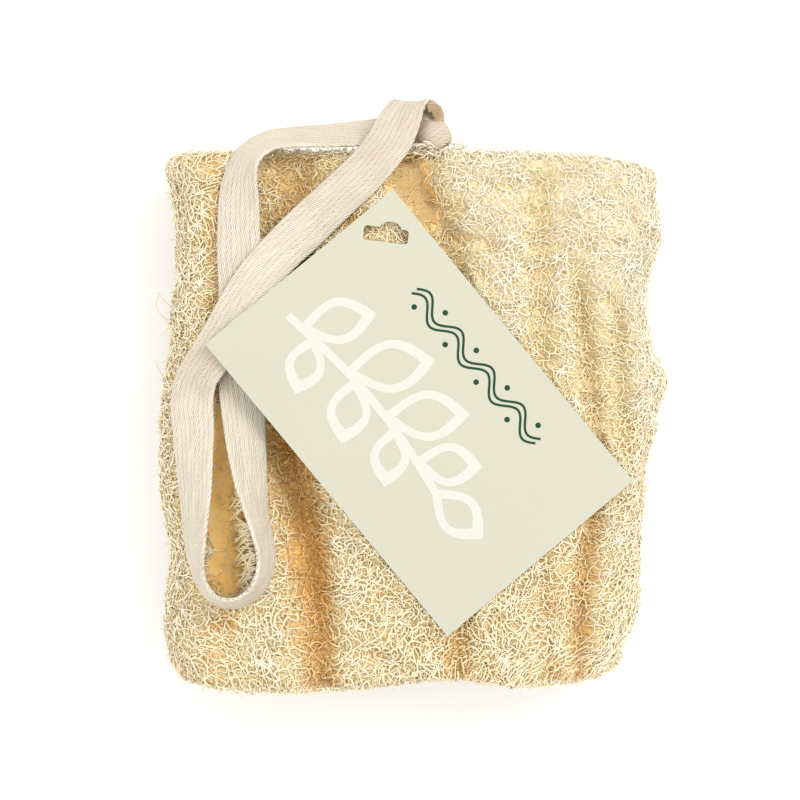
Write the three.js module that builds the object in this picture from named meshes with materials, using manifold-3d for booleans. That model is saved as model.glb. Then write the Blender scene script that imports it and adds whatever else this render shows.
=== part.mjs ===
// A pressed natural loofah sponge lying flat, with a knotted cotton hanging loop and a swing tag on top.
// Millimetres, +Z up. The origin is the middle of the sponge's footprint on the surface that it rests on.
// +Y points along the fruit's own axis, to the end that carries the loop.
import * as THREE from "three";
import { mergeVertices } from "three/addons/utils/BufferGeometryUtils.js";
import Module from "manifold-3d";

// The sponge: a length of the fruit's fibre skeleton, pressed flat, with its ribs left as ridges and valleys.
const sponge = {
  thickness: 31,
  sideRadius: 13,
  sideFullness: 2.4,
  rimRadius: 2.6,
  crown: 1.2,
  ripple: 0.5,
  flatShare: 0.74,
  columns: 56,
  rows: 22,
  rimSteps: 2,
  endRows: 4,
};
const middleHeight = sponge.thickness / 2;

// Each outline is a list of [place along the edge, how far the edge reaches out], from one end to the other.
const leftEdge = [
  [-61, 55.5], [-50, 57.6], [-36, 55.8], [-16, 58.2], [0, 58.2],
  [14, 56.6], [40, 54.6], [50, 55], [61, 57.2],
];
const rightEdge = [
  [-61, 46], [-54, 51.5], [-38, 53], [-16, 54.4], [2, 57.2],
  [10, 59], [20, 55.6], [32, 54.6], [46, 57.4], [61, 56.4],
];
const loopEnd = [[-58, 60.4], [-44, 61.4], [-20, 61.4], [20, 61.2], [40, 60.2], [58, 57.6]];
const farEnd = [
  [-58, 57], [-50, 60.2], [-30, 62], [-10, 61], [8, 59.4],
  [24, 60.6], [42, 59.2], [50, 55.6], [58, 50],
];

// Valleys between the ribs above: stations of [y, x, depth, width on the left, width on the right].
const upperValleys = [
  [
    [-61, -43, 1.5, 4, 4],
    [-46, -42.4, 2.5, 4, 4],
    [-32, -41, 7, 4, 5],
    [-13, -41.6, 6, 3.5, 4.5],
    [11, -43.6, 4, 3.2, 4],
    [61, -45, 3.5, 3.2, 3.2],
  ],
  [
    [-61, -20.5, 6, 5, 4],
    [-41, -21.5, 8.5, 6, 4],
    [-22, -24, 9.5, 7, 4],
    [-4, -27.5, 9.5, 7, 4.5],
    [16, -29, 8, 7, 6],
    [43, -27.5, 6, 6, 6],
    [61, -25.5, 5, 7, 6],
  ],
  [
    [-61, 11, 4.5, 4, 4],
    [-41, 11, 4, 5, 4],
    [-7, 11.4, 4, 5, 5],
    [27, 9.8, 4.5, 5, 5],
    [43, 7, 5, 7, 6],
    [52, 2.4, 5.5, 8, 6],
    [61, -2.4, 5, 7, 6],
  ],
  [[-61, 32, 2.5, 3, 3], [-18, 29, 2, 4, 4], [16, 30, 3.4, 4, 4], [45, 29.5, 3, 4, 4], [61, 30.2, 1, 4, 4]],
  [
    [-61, 37.6, 4, 3.2, 3.2],
    [-41, 38.9, 5, 3.2, 3.2],
    [-25, 40.5, 5, 3.2, 3.4],
    [-7, 42.5, 4.4, 3.2, 3.4],
    [17, 40, 4.4, 3.2, 3.4],
    [28, 38.9, 4, 3.2, 3.4],
    [40, 37, 0, 3, 3],
  ],
  [
    [-24, 47.6, 0, 3, 3], [-5, 48.8, 3, 3, 3], [10, 47.7, 4, 3, 3], [23, 47.2, 3.4, 3, 3],
    [33, 45.4, 0, 3, 3],
  ],
];
const lowerValleys = [
  [[-61, -38, 3.5, 5, 5], [0, -40, 4.5, 5, 5], [61, -37, 3, 5, 5]],
  [[-61, -14, 4, 5, 5], [5, -10, 5, 6, 5], [61, -13, 4, 5, 5]],
  [[-61, 13, 3, 5, 5], [-5, 16, 4, 5, 5], [61, 12, 4.5, 5, 5]],
  [[-61, 36, 3, 4, 4], [0, 39, 4, 5, 4], [61, 37, 3, 4, 4]],
];

// The underside rests on the crests between its valleys, which are pressed flat by this much.
const pressedFlat = 0.3;

// The three seed channels, pressed almost shut, are shallow hollows in each cut end. The knot sits in a dent.
const channels = [
  { x: -30, z: 15.5, halfWidth: 11, halfHeight: 4.5, depth: 3 },
  { x: 2, z: 14, halfWidth: 10, halfHeight: 4.5, depth: 3 },
  { x: 33, z: 15.5, halfWidth: 11, halfHeight: 4.5, depth: 3 },
];
const knotDent = { x: 4.2, z: 23.5, halfWidth: 5.5, halfHeight: 5.5, depth: 2 };

// The cotton tape: one loop of woven tape, both ends in a knot at the sponge's end.
const tape = { width: 10, thickness: 1.2, gap: 0.6, bridged: 0.45, steps: 78 };
// Where its middle runs: x, y, its face's tilt in degrees, and either its height or its lift off the sponge.
const tapeRoute = [
  { x: -1.6, y: 66.8, tilt: 44, height: 24.6 },
  { x: -9, y: 65.9, tilt: 48, height: 26 },
  { x: -18.6, y: 65.1, tilt: 52, height: 27.8 },
  { x: -27, y: 64.4, tilt: 56, height: 29.6 },
  { x: -33.2, y: 63, tilt: 56, height: 32.2 },
  { x: -37.4, y: 59.4, tilt: 48, height: 34.6 },
  { x: -38.8, y: 54.4, tilt: 34, lift: 0.1 },
  { x: -39.2, y: 48.8, tilt: 18, lift: 0 },
  { x: -39.2, y: 40.6, tilt: 5, lift: 0 },
  { x: -39, y: 28.8, tilt: 0, lift: 0 },
  { x: -39.2, y: 18.6, tilt: -2, lift: 0 },
  { x: -39, y: 9.2, tilt: -4, lift: 0 },
  { x: -38, y: -1, tilt: -18, lift: 0 },
  { x: -37.2, y: -8, tilt: -34, lift: 0 },
  { x: -36.4, y: -14.2, tilt: -48, lift: 0 },
  { x: -35.3, y: -20, tilt: -60, lift: 0 },
  { x: -34, y: -25, tilt: -67, lift: 0 },
  { x: -32.9, y: -29.4, tilt: -70, lift: 0 },
  { x: -33, y: -33.6, tilt: -72, lift: 0 },
  { x: -34.8, y: -37.8, tilt: -74, lift: 0 },
  { x: -39, y: -40.9, tilt: -75, lift: 0 },
  { x: -43.8, y: -40.8, tilt: -74, lift: 0 },
  { x: -47, y: -37.6, tilt: -73, lift: 0 },
  { x: -48.4, y: -33.4, tilt: -68, lift: 0 },
  { x: -48.9, y: -27.4, tilt: -57, lift: 0 },
  { x: -49, y: -20.4, tilt: -44, lift: 0 },
  { x: -49.2, y: -12, tilt: -31, lift: 0 },
  { x: -49.5, y: -3.4, tilt: -18, lift: 0 },
  { x: -49.9, y: 4.2, tilt: -14, lift: 0.3 },
  { x: -48.6, y: 9.6, tilt: -14, lift: 1.5 },
  { x: -45.6, y: 14.2, tilt: -10, lift: 2.2 },
  { x: -42.3, y: 19.6, tilt: -5, lift: 2.25 },
  { x: -38.9, y: 25.6, tilt: -2, lift: 2.25 },
  { x: -35, y: 31.6, tilt: 0, lift: 2.25 },
  { x: -30.2, y: 37.4, tilt: 0, lift: 2.25 },
  { x: -24.2, y: 43.4, tilt: 0, lift: 0.8 },
  { x: -16.8, y: 50.4, tilt: 0, lift: 0.4 },
  { x: -10, y: 57, tilt: 0, lift: 0.4 },
  { x: -5.2, y: 63.2, tilt: 0, height: 32.4 },
  { x: -2.7, y: 68.2, tilt: 0, height: 31.3 },
  { x: -1.3, y: 71.2, tilt: 0, height: 29.7 },
];
// The knot: a lump, and the turn of tape that is drawn tight round it, leaning over to the right.
const knot = { x: 4.4, y: 66.6, height: 24.4, halfWidth: 4.1, halfDepth: 5, halfHeight: 4.4 };
const knotFacets = { around: 20, down: 12 };
const knotTurn = { radius: 3.9, halfBreadth: 3.3, halfThickness: 0.9, lean: -28, pitch: 20 };
const turnFacets = { around: 24, section: 10 };

// The swing tag: a card with one hanging slot set square to the corner that it hangs by.
const tag = {
  length: 85.5,
  width: 54.8,
  thickness: 0.5,
  cornerRadius: 0.5,
  x: 1.8,
  y: 1.65,
  height: 34.2,
  turn: -50.4,
  lean: 2.1,
  roll: -2.52,
  slot: { x: -5.9, y: 41.8, turn: -6.8, length: 10.2, height: 3.3, corner: 0.7 },
  notch: { offset: 0.95, width: 5, rise: 1.5 },
};

// A smooth curve through stations, each a row that starts with its place: cubics with the stations' slopes.
function through(stations, column, place) {
  const last = stations.length - 1;
  const at = Math.min(Math.max(place, stations[0][0]), stations[last][0]);
  let i = 0;
  while (i < last - 1 && at > stations[i + 1][0]) i += 1;
  const slope = (k) => {
    const before = stations[Math.max(k - 1, 0)];
    const after = stations[Math.min(k + 1, last)];
    return (after[column] - before[column]) / (after[0] - before[0]);
  };
  const [a, b] = [stations[i], stations[i + 1]];
  const span = b[0] - a[0];
  const t = (at - a[0]) / span;
  return (
    a[column] * (1 + 2 * t) * (1 - t) ** 2 +
    b[column] * t * t * (3 - 2 * t) +
    span * t * (1 - t) * (slope(i) * (1 - t) - slope(i + 1) * t)
  );
}

// How deep the valleys are at x, y: each one is a bell across its centre line.
function valleyDepth(valleys, x, y) {
  let depth = 0;
  for (const valley of valleys) {
    if (y < valley[0][0] || y > valley[valley.length - 1][0]) continue;
    const off = x - through(valley, 1, y);
    const width = through(valley, off < 0 ? 3 : 4, y);
    depth += through(valley, 2, y) * Math.exp(-((off / width) ** 2));
  }
  return depth;
}

// Half the thickness above the middle height, away from the rounded sides. share scales the valleys.
function upperHalf(x, y, share = 1) {
  const crown = sponge.crown * (1 - (x / 60) ** 2) * (1 - (y / 75) ** 2);
  const ripple = sponge.ripple * Math.sin(x * 0.31 + Math.sin(y * 0.11) * 2) * Math.sin(y * 0.19 + x * 0.07);
  return middleHeight + crown + ripple - share * valleyDepth(upperValleys, x, y);
}

function lowerHalf(x, y) {
  return middleHeight - Math.max(0, valleyDepth(lowerValleys, x, y) - pressedFlat);
}

// How much of the half thickness is left, from 1 inland to 0 at the outermost point of the side.
function sideShare(x, y, inset = 0) {
  const reach = through(x < 0 ? leftEdge : rightEdge, 1, y) - inset;
  const out = Math.max(0, Math.abs(x) - (reach - sponge.sideRadius)) / sponge.sideRadius;
  return (1 - Math.min(out, 1) ** sponge.sideFullness) ** (1 / sponge.sideFullness);
}

function topHeight(x, y, share = 1) {
  return middleHeight + upperHalf(x, y, share) * sideShare(x, y);
}

// A point of the sponge's skin: across from 1 on the right to -1 on the left, along from -1 to 1 between
// the cut ends. inset pulls the section in and setBack the end, for the rounded rims.
function skinPoint(across, upper, along, inset, setBack) {
  const roughY = along * 61;
  const edge = across < 0 ? leftEdge : rightEdge;
  const reach = through(edge, 1, roughY) - inset;
  const beyond = Math.max(0, Math.abs(across) - sponge.flatShare) / (1 - sponge.flatShare);
  const angle = (beyond * Math.PI) / 2;
  const power = 2 / sponge.sideFullness;
  const flat = (reach - sponge.sideRadius) * Math.min(Math.abs(across) / sponge.flatShare, 1);
  const x = Math.sign(across) * (flat + sponge.sideRadius * Math.sin(angle) ** power);
  const end = along < 0 ? -(through(farEnd, 1, x) - setBack) : through(loopEnd, 1, x) - setBack;
  const y = Math.abs(along) * end;
  const half = (upper ? upperHalf(x, y) : lowerHalf(x, y)) - inset;
  const share = beyond >= 1 ? 0 : Math.cos(angle) ** power;
  return [x, y, middleHeight + (upper ? 1 : -1) * half * share];
}

// The faces of a grid of points given row by row, each row a closed ring.
function ringFaces(faces, rows, ringSize) {
  for (let r = 0; r < rows - 1; r += 1) {
    for (let k = 0; k < ringSize; k += 1) {
      const next = (k + 1) % ringSize;
      const [a, b] = [r * ringSize + k, r * ringSize + next];
      faces.push(a, b, b + ringSize, a, b + ringSize, a + ringSize);
    }
  }
}

function meshGeometry(points, faces) {
  const geometry = new THREE.BufferGeometry();
  geometry.setAttribute("position", new THREE.BufferAttribute(new Float32Array(points.flat()), 3));
  geometry.setIndex(faces);
  return geometry;
}

// The sponge's closed skin: rings round the section from end to end, and a grid across each cut end.
function spongeSkin() {
  const stops = [];
  const round = sponge.rimRadius;
  for (let k = 0; k <= sponge.rimSteps; k += 1) {
    const angle = (k / sponge.rimSteps) * (Math.PI / 2);
    stops.push({ along: 1, inset: round * (1 - Math.sin(angle)), back: round * (1 - Math.cos(angle)) });
  }
  const stations = stops.map((s) => ({ ...s, along: -1 }));
  for (let r = 1; r < sponge.rows; r += 1) {
    const along = -1 + (2 * r) / sponge.rows;
    stations.push({ along, inset: 0, back: round });
  }
  stations.push(...[...stops].reverse());
  const m = sponge.columns;
  const ringSize = 2 * m;
  const points = [];
  for (const s of stations) {
    for (let k = 0; k < ringSize; k += 1) {
      const lower = k < m;
      const across = lower ? 1 - (2 * k) / m : -1 + (2 * (k - m)) / m;
      points.push(skinPoint(across, !lower, s.along, s.inset, s.back));
    }
  }
  const faces = [];
  ringFaces(faces, stations.length, ringSize);
  capFaces(points, faces, 0, m, false);
  capFaces(points, faces, (stations.length - 1) * ringSize, m, true);
  return meshGeometry(points, faces);
}

// Closes one cut end with columns of points from the lower rim to the upper one, sunk where the hollows are.
function capFaces(points, faces, first, m, loopSide) {
  const rows = sponge.endRows;
  const sign = loopSide ? 1 : -1;
  const hollows = loopSide ? [...channels, knotDent] : channels;
  const columns = [];
  for (let k = 0; k <= m; k += 1) {
    const bottom = first + k;
    const top = first + ((2 * m - k) % (2 * m));
    if (k === 0 || k === m) {
      columns.push([bottom]);
      continue;
    }
    const column = [bottom];
    for (let r = 1; r < rows; r += 1) {
      const [a, b] = [points[bottom], points[top]];
      const [x, y, z] = a.map((value, i) => value + ((b[i] - value) * r) / rows);
      let sunk = 0;
      for (const h of hollows) {
        sunk += h.depth * Math.exp(-(((x - h.x) / h.halfWidth) ** 2) - ((z - h.z) / h.halfHeight) ** 2);
      }
      column.push(points.length);
      points.push([x, y - sign * sunk, z]);
    }
    column.push(top);
    columns.push(column);
  }
  const face = (a, b, c) => faces.push(...(loopSide ? [a, c, b] : [a, b, c]));
  for (let k = 0; k < m; k += 1) {
    const [left, right] = [columns[k + 1], columns[k]];
    for (let r = 0; r < rows; r += 1) {
      const pick = (column, row) => (column.length === 1 ? column[0] : column[row]);
      const [a, b, c, d] = [pick(right, r), pick(right, r + 1), pick(left, r + 1), pick(left, r)];
      if (a !== b) face(a, b, c);
      if (c !== d) face(a, c, d);
    }
  }
}

// Height of the tape's middle where it rests: its lower face clears the sponge and part bridges its valleys.
function restingHeight(x, y, tilt, lift, side) {
  const lean = THREE.MathUtils.degToRad(tilt);
  let height = -Infinity;
  for (const share of [-1, -0.5, 0, 0.5, 1]) {
    const off = (share * tape.width) / 2;
    const out = off * Math.cos(lean);
    const under = topHeight(x + side.x * out, y + side.y * out, tape.bridged);
    height = Math.max(height, under - off * Math.sin(lean));
  }
  return height + tape.thickness / 2 + tape.gap + lift;
}

// The tape's middle line and tilt, as smooth curves through its stations.
function tapeLine() {
  const smooth = (places) => new THREE.CatmullRomCurve3(places, false, "centripetal");
  const flat = smooth(tapeRoute.map((p) => new THREE.Vector3(p.x, p.y, 0)));
  const count = tapeRoute.length;
  const heights = tapeRoute.map((p, i) => {
    if (p.height !== undefined) return p.height;
    const way = flat.getTangent(i / (count - 1));
    return restingHeight(p.x, p.y, p.tilt, p.lift, { x: -way.y, y: way.x });
  });
  const places = tapeRoute.map((p, i) => new THREE.Vector3(p.x, p.y, heights[i]));
  const tilts = tapeRoute.map((p, i) => [i, p.tilt]);
  return { curve: smooth(places), tilt: (t) => through(tilts, 1, t * (count - 1)) };
}

// The tape: an eight-sided flat section swept along its line, turned about the line by the tilt.
function tapeGeometry() {
  const { curve, tilt } = tapeLine();
  const [w, h] = [tape.width / 2, tape.thickness / 2];
  const edge = 0.8 * w;
  const section = [[-w, 0], [-edge, -h], [0, -h], [edge, -h], [w, 0], [edge, h], [0, h], [-edge, h]];
  const up = new THREE.Vector3(0, 0, 1);
  const points = [];
  for (let k = 0; k <= tape.steps; k += 1) {
    const t = k / tape.steps;
    const middle = curve.getPoint(t);
    const way = curve.getTangent(t);
    const side = new THREE.Vector3().crossVectors(up, way).normalize();
    const over = new THREE.Vector3().crossVectors(way, side);
    const lean = THREE.MathUtils.degToRad(tilt(t));
    const across = side.clone().multiplyScalar(Math.cos(lean)).addScaledVector(over, Math.sin(lean));
    const face = over.clone().multiplyScalar(Math.cos(lean)).addScaledVector(side, -Math.sin(lean));
    for (const [a, b] of section) {
      const p = middle.clone().addScaledVector(across, a).addScaledVector(face, b);
      points.push([p.x, p.y, p.z]);
    }
  }
  const size = section.length;
  const faces = [];
  ringFaces(faces, tape.steps + 1, size);
  const last = tape.steps * size;
  for (let k = 1; k < size - 1; k += 1) {
    faces.push(0, k + 1, k);
    faces.push(last, last + k, last + k + 1);
  }
  return meshGeometry(points, faces);
}

// The knot's lump and the turn round it, joined to one body.
function knotGeometry() {
  const lump = new THREE.SphereGeometry(1, knotFacets.around, knotFacets.down);
  lump.scale(knot.halfWidth, knot.halfDepth, knot.halfHeight);
  const turn = new THREE.TorusGeometry(knotTurn.radius, 1, turnFacets.section, turnFacets.around);
  const places = turn.getAttribute("position");
  for (let i = 0; i < places.count; i += 1) {
    const out = Math.hypot(places.getX(i), places.getY(i));
    const pulled = (knotTurn.radius + (out - knotTurn.radius) * knotTurn.halfThickness) / out;
    places.setXYZ(i, places.getX(i) * pulled, places.getY(i) * pulled, places.getZ(i) * knotTurn.halfBreadth);
  }
  turn.rotateX(THREE.MathUtils.degToRad(90 + knotTurn.pitch));
  turn.rotateZ(THREE.MathUtils.degToRad(knotTurn.lean));
  return geometryOf(solidOf(lump).add(solidOf(turn)));
}

// The card, drawn flat with its length along X, then turned. The slot is drawn in the part's own directions.
function tagGeometry() {
  const [l, w, r] = [tag.length / 2, tag.width / 2, tag.cornerRadius];
  const outline = new THREE.Shape();
  outline.moveTo(-l + r, -w);
  outline.lineTo(l - r, -w);
  outline.absarc(l - r, -w + r, r, -Math.PI / 2, 0);
  outline.lineTo(l, w - r);
  outline.absarc(l - r, w - r, r, 0, Math.PI / 2);
  outline.lineTo(-l + r, w);
  outline.absarc(-l + r, w - r, r, Math.PI / 2, Math.PI);
  outline.lineTo(-l, -w + r);
  outline.absarc(-l + r, -w + r, r, Math.PI, 1.5 * Math.PI);
  const turn = THREE.MathUtils.degToRad(tag.turn);
  const origin = new THREE.Vector2(0, 0);
  const shift = new THREE.Vector2(tag.slot.x - tag.x, tag.slot.y - tag.y);
  const slot = new THREE.Path(slotOutline().map((p) => p.add(shift).rotateAround(origin, -turn)));
  outline.holes.push(slot);
  const settings = { depth: tag.thickness, bevelEnabled: false, curveSegments: 3 };
  const geometry = new THREE.ExtrudeGeometry(outline, settings);
  geometry.translate(0, 0, -tag.thickness / 2);
  return geometry;
}

// The hanging slot: a bar with rounded corners and a round notch in its upper side, as seen from above.
function slotOutline() {
  const { length, height, corner } = tag.slot;
  const { offset, width, rise } = tag.notch;
  const [l, h] = [length / 2 - corner, height / 2 - corner];
  const points = [];
  const arc = (x, y, radius, from, to, steps) => {
    for (let k = 0; k <= steps; k += 1) {
      const angle = THREE.MathUtils.degToRad(from + ((to - from) * k) / steps);
      points.push([x + radius * Math.cos(angle), y + radius * Math.sin(angle)]);
    }
  };
  arc(l, h, corner, 0, 90, 2);
  const radius = ((width / 2) ** 2 + rise ** 2) / (2 * rise);
  const start = THREE.MathUtils.radToDeg(Math.asin((radius - rise) / radius));
  arc(offset, height / 2 + rise - radius, radius, start, 180 - start, 8);
  arc(-l, h, corner, 90, 180, 2);
  arc(-l, -h, corner, 180, 270, 2);
  arc(l, -h, corner, 270, 360, 2);
  const origin = new THREE.Vector2(0, 0);
  const turn = THREE.MathUtils.degToRad(tag.slot.turn);
  return points.map(([x, y]) => new THREE.Vector2(x, y).rotateAround(origin, turn));
}

// Turns a geometry into a solid for joining, and back.
const wasm = await Module();
wasm.setup();

function solidOf(geometry) {
  const bare = new THREE.BufferGeometry().setAttribute("position", geometry.getAttribute("position").clone());
  if (geometry.index) bare.setIndex(geometry.index.clone());
  const merged = mergeVertices(bare, 1e-4);
  return new wasm.Manifold(
    new wasm.Mesh({
      numProp: 3,
      vertProperties: new Float32Array(merged.attributes.position.array),
      triVerts: new Uint32Array(merged.index.array),
    }),
  );
}

function geometryOf(solid) {
  const mesh = solid.getMesh();
  const geometry = new THREE.BufferGeometry();
  geometry.setAttribute("position", new THREE.BufferAttribute(new Float32Array(mesh.vertProperties), 3));
  geometry.setIndex([...mesh.triVerts]);
  return geometry;
}

const paint = (color, roughness) => new THREE.MeshStandardMaterial({ color, roughness, metalness: 0 });
const fibre = paint(0xe6d0a0, 0.85);
const cotton = paint(0xeadfca, 0.9);
const card = paint(0xe8e5cf, 0.7);

function piece(name, geometry, material) {
  const mesh = new THREE.Mesh(geometry, material);
  mesh.name = name;
  return mesh;
}

const part = new THREE.Group();

part.add(piece("loofah_sponge", spongeSkin(), fibre));

part.add(piece("tape_loop", tapeGeometry(), cotton));

const tapeKnot = piece("tape_knot", knotGeometry(), cotton);
tapeKnot.position.set(knot.x, knot.y, knot.height);
part.add(tapeKnot);

const swingTag = piece("swing_tag", tagGeometry(), card);
swingTag.position.set(tag.x, tag.y, tag.height);
swingTag.rotation.order = "ZYX";
swingTag.rotation.set(...[tag.roll, tag.lean, tag.turn].map(THREE.MathUtils.degToRad));
part.add(swingTag);

export default part;
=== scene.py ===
import bpy
import numpy as np
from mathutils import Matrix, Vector
from mathutils.geometry import delaunay_2d_cdt


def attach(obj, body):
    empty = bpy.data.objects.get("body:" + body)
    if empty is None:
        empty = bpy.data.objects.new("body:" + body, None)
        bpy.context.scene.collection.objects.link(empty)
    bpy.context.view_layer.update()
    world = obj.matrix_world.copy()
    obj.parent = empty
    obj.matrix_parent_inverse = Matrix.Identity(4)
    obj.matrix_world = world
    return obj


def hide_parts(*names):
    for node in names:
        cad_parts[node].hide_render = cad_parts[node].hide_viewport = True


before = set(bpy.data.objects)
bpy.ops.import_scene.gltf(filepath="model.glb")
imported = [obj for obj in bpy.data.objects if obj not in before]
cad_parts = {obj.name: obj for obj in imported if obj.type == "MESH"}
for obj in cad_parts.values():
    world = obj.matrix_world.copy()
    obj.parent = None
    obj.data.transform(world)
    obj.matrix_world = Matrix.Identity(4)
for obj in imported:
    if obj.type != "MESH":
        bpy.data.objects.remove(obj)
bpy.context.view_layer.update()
mm = 0.001
scene = bpy.context.scene
print("frame loaded")

cameraSettings = {
    "middle": (-2.73, 4.55),  # the photograph's centre on the pad, mm
    "span": 181.8,  # width that the frame shows at the pad's top, mm
    "lens": 100.0,
    "sensor": 36.0,
    "level": 31.0,  # height that the span is measured at, mm
}


def makeCamera(s):
    # Straight down on the pad, image top towards +Y: distance is span times lens over sensor.
    data = bpy.data.cameras.new("camera")
    data.lens, data.sensor_width, data.sensor_fit = s["lens"], s["sensor"], "HORIZONTAL"
    data.clip_start, data.clip_end = 0.01, 20
    camera = bpy.data.objects.new("camera", data)
    away = s["span"] * s["lens"] / s["sensor"] + s["level"]
    camera.location = (s["middle"][0] * mm, s["middle"][1] * mm, away * mm)
    scene.collection.objects.link(camera)
    scene.camera = camera


makeCamera(cameraSettings)

pad = {
    "thickness": 31.0,
    "sideRadius": 13.0,
    "sideFullness": 2.4,
    "rimRadius": 2.6,
    "rimFrom": 0.96,  # share of the half length where the rim's turn begins
    "halfLength": 60.0,
    "crown": 1.2,
    "ripple": 0.5,
    "flatShare": 0.68,
    "pressedFlat": 0.3,
    "stand": 0.5,  # mm that the fibres stand out at the sides and cut ends
    "offFloor": 0.38,  # mm that strand middles stay above the floor
}
middleHeight = pad["thickness"] / 2
leftEdge = [(-61, 55.5), (-50, 57.6), (-36, 55.8), (-16, 58.2), (0, 58.2),
            (14, 56.6), (40, 54.6), (50, 55), (61, 57.2)]
rightEdge = [(-61, 46), (-54, 51.5), (-38, 53), (-16, 54.4), (2, 57.2),
             (10, 59), (20, 55.6), (32, 54.6), (46, 57.4), (61, 56.4)]
loopEnd = [(-58, 60.4), (-44, 61.4), (-20, 61.4), (20, 61.2), (40, 60.2), (58, 57.6)]
farEnd = [(-58, 57), (-50, 60.2), (-30, 62), (-10, 61), (8, 59.4),
          (24, 60.6), (42, 59.2), (50, 55.6), (58, 50)]
# Valleys: stations of y, x, depth, width on the left and on the right.
upperValleys = [
    [(-61, -43, 1.5, 4, 4), (-46, -42.4, 2.5, 4, 4), (-32, -41, 7, 4, 5),
     (-13, -41.6, 6, 3.5, 4.5), (11, -43.6, 4, 3.2, 4), (61, -45, 3.5, 3.2, 3.2)],
    [(-61, -20.5, 6, 5, 4), (-41, -21.5, 8.5, 6, 4), (-22, -24, 9.5, 7, 4), (-4, -27.5, 9.5, 7, 4.5),
     (16, -29, 8, 7, 6), (43, -27.5, 6, 6, 6), (61, -25.5, 5, 7, 6)],
    [(-61, 11, 4.5, 4, 4), (-41, 11, 4, 5, 4), (-7, 11.4, 4, 5, 5), (27, 9.8, 4.5, 5, 5),
     (43, 7, 5, 7, 6), (52, 2.4, 5.5, 8, 6), (61, -2.4, 5, 7, 6)],
    [(-61, 32, 2.5, 3, 3), (-18, 29, 2, 4, 4), (16, 30, 3.4, 4, 4), (45, 29.5, 3, 4, 4),
     (61, 30.2, 1, 4, 4)],
    [(-61, 37.6, 4, 3.2, 3.2), (-41, 38.9, 5, 3.2, 3.2), (-25, 40.5, 5, 3.2, 3.4),
     (-7, 42.5, 4.4, 3.2, 3.4), (17, 40, 4.4, 3.2, 3.4), (28, 38.9, 4, 3.2, 3.4), (40, 37, 0, 3, 3)],
    [(-24, 47.6, 0, 3, 3), (-5, 48.8, 3, 3, 3), (10, 47.7, 4, 3, 3), (23, 47.2, 3.4, 3, 3),
     (33, 45.4, 0, 3, 3)],
]
lowerValleys = [
    [(-61, -38, 3.5, 5, 5), (0, -40, 4.5, 5, 5), (61, -37, 3, 5, 5)],
    [(-61, -14, 4, 5, 5), (5, -10, 5, 6, 5), (61, -13, 4, 5, 5)],
    [(-61, 13, 3, 5, 5), (-5, 16, 4, 5, 5), (61, 12, 4.5, 5, 5)],
    [(-61, 36, 3, 4, 4), (0, 39, 4, 5, 4), (61, 37, 3, 4, 4)],
]
shownDepth = [0.15, 1.0, 1.0, 1.0, 1.0, 1.0]  # of each upper valley's depth that the fibres leave open
# Each upper valley's gold is partly the fibre's own deeper colour and partly painted shade in the fold.
valleyGoldShadeWeights = [0.8, 1.0, 1.0, 0.8, 1.0, 0.85]  # how golden each upper valley is for its depth
channels = [(-30, 15.5, 11, 4.5, 3), (2, 14, 10, 4.5, 3), (33, 15.5, 11, 4.5, 3)]


def through(stations, column, place):
    # A cubic through the stations: Hermite spans whose slopes are the chords over both neighbours.
    table = np.array(stations, float)
    xs, ys = table[:, 0], table[:, column]
    last = len(xs) - 1
    before, after = np.maximum(np.arange(last + 1) - 1, 0), np.minimum(np.arange(last + 1) + 1, last)
    slope = (ys[after] - ys[before]) / (xs[after] - xs[before])
    at = np.clip(place, xs[0], xs[-1])
    i = np.clip(np.searchsorted(xs, at, side="right") - 1, 0, last - 1)
    span = xs[i + 1] - xs[i]
    t = (at - xs[i]) / span
    return (ys[i] * (1 + 2 * t) * (1 - t) ** 2 + ys[i + 1] * t * t * (3 - 2 * t)
            + span * t * (1 - t) * (slope[i] * (1 - t) - slope[i + 1] * t))


def endAt(side, x):
    # Y of a cut end's outline at x: the far end where side is below zero, otherwise the loop's end.
    return np.where(side < 0, through(farEnd, 1, x), through(loopEnd, 1, x))


def reachAt(side, y):
    # How far the pad reaches sideways at y: the left edge where side is below zero, otherwise the right.
    return np.where(side < 0, through(leftEdge, 1, y), through(rightEdge, 1, y))


def sideShare(x, reach):
    # A superellipse that falls from 1 to 0 over the side radius before the reach.
    out = np.clip((np.abs(x) - (reach - pad["sideRadius"])) / pad["sideRadius"], 0, 1)
    full = pad["sideFullness"]
    return (1 - out ** full) ** (1 / full)


def valleyDepth(valleys, x, y, weights=None, narrow=1.0):
    # Sum of one bell per valley, exp of minus (offset / width) squared, with its own width on each side.
    # Weights scale each valley's bell, and narrow makes every bell that much slimmer.
    depth = np.zeros(np.broadcast(x, y).shape)
    for valley, weight in zip(valleys, weights or [1.0] * len(valleys)):
        off = x - through(valley, 1, y)
        width = narrow * np.where(off < 0, through(valley, 3, y), through(valley, 4, y))
        here = (y >= valley[0][0]) & (y <= valley[-1][0])
        depth += np.where(here, weight * through(valley, 2, y) * np.exp(-((off / width) ** 2)), 0)
    return depth


def upperHalf(x, y, shares=shownDepth):
    # Half thickness: the middle height, plus a crown and a ripple, less each valley's share of its depth.
    crown = pad["crown"] * (1 - (x / 60) ** 2) * (1 - (y / 75) ** 2)
    ripple = pad["ripple"] * np.sin(x * 0.31 + np.sin(y * 0.11) * 2) * np.sin(y * 0.19 + x * 0.07)
    return middleHeight + crown + ripple - valleyDepth(upperValleys, x, y, shares)


def lowerHalf(x, y):
    return middleHeight - np.maximum(0, valleyDepth(lowerValleys, x, y) - pad["pressedFlat"])


def topHeight(x, y, shares=shownDepth):
    # Height of the upper skin: the half thickness times the share that is left near the sides.
    return middleHeight + upperHalf(x, y, shares) * sideShare(x, reachAt(x, y))


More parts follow.
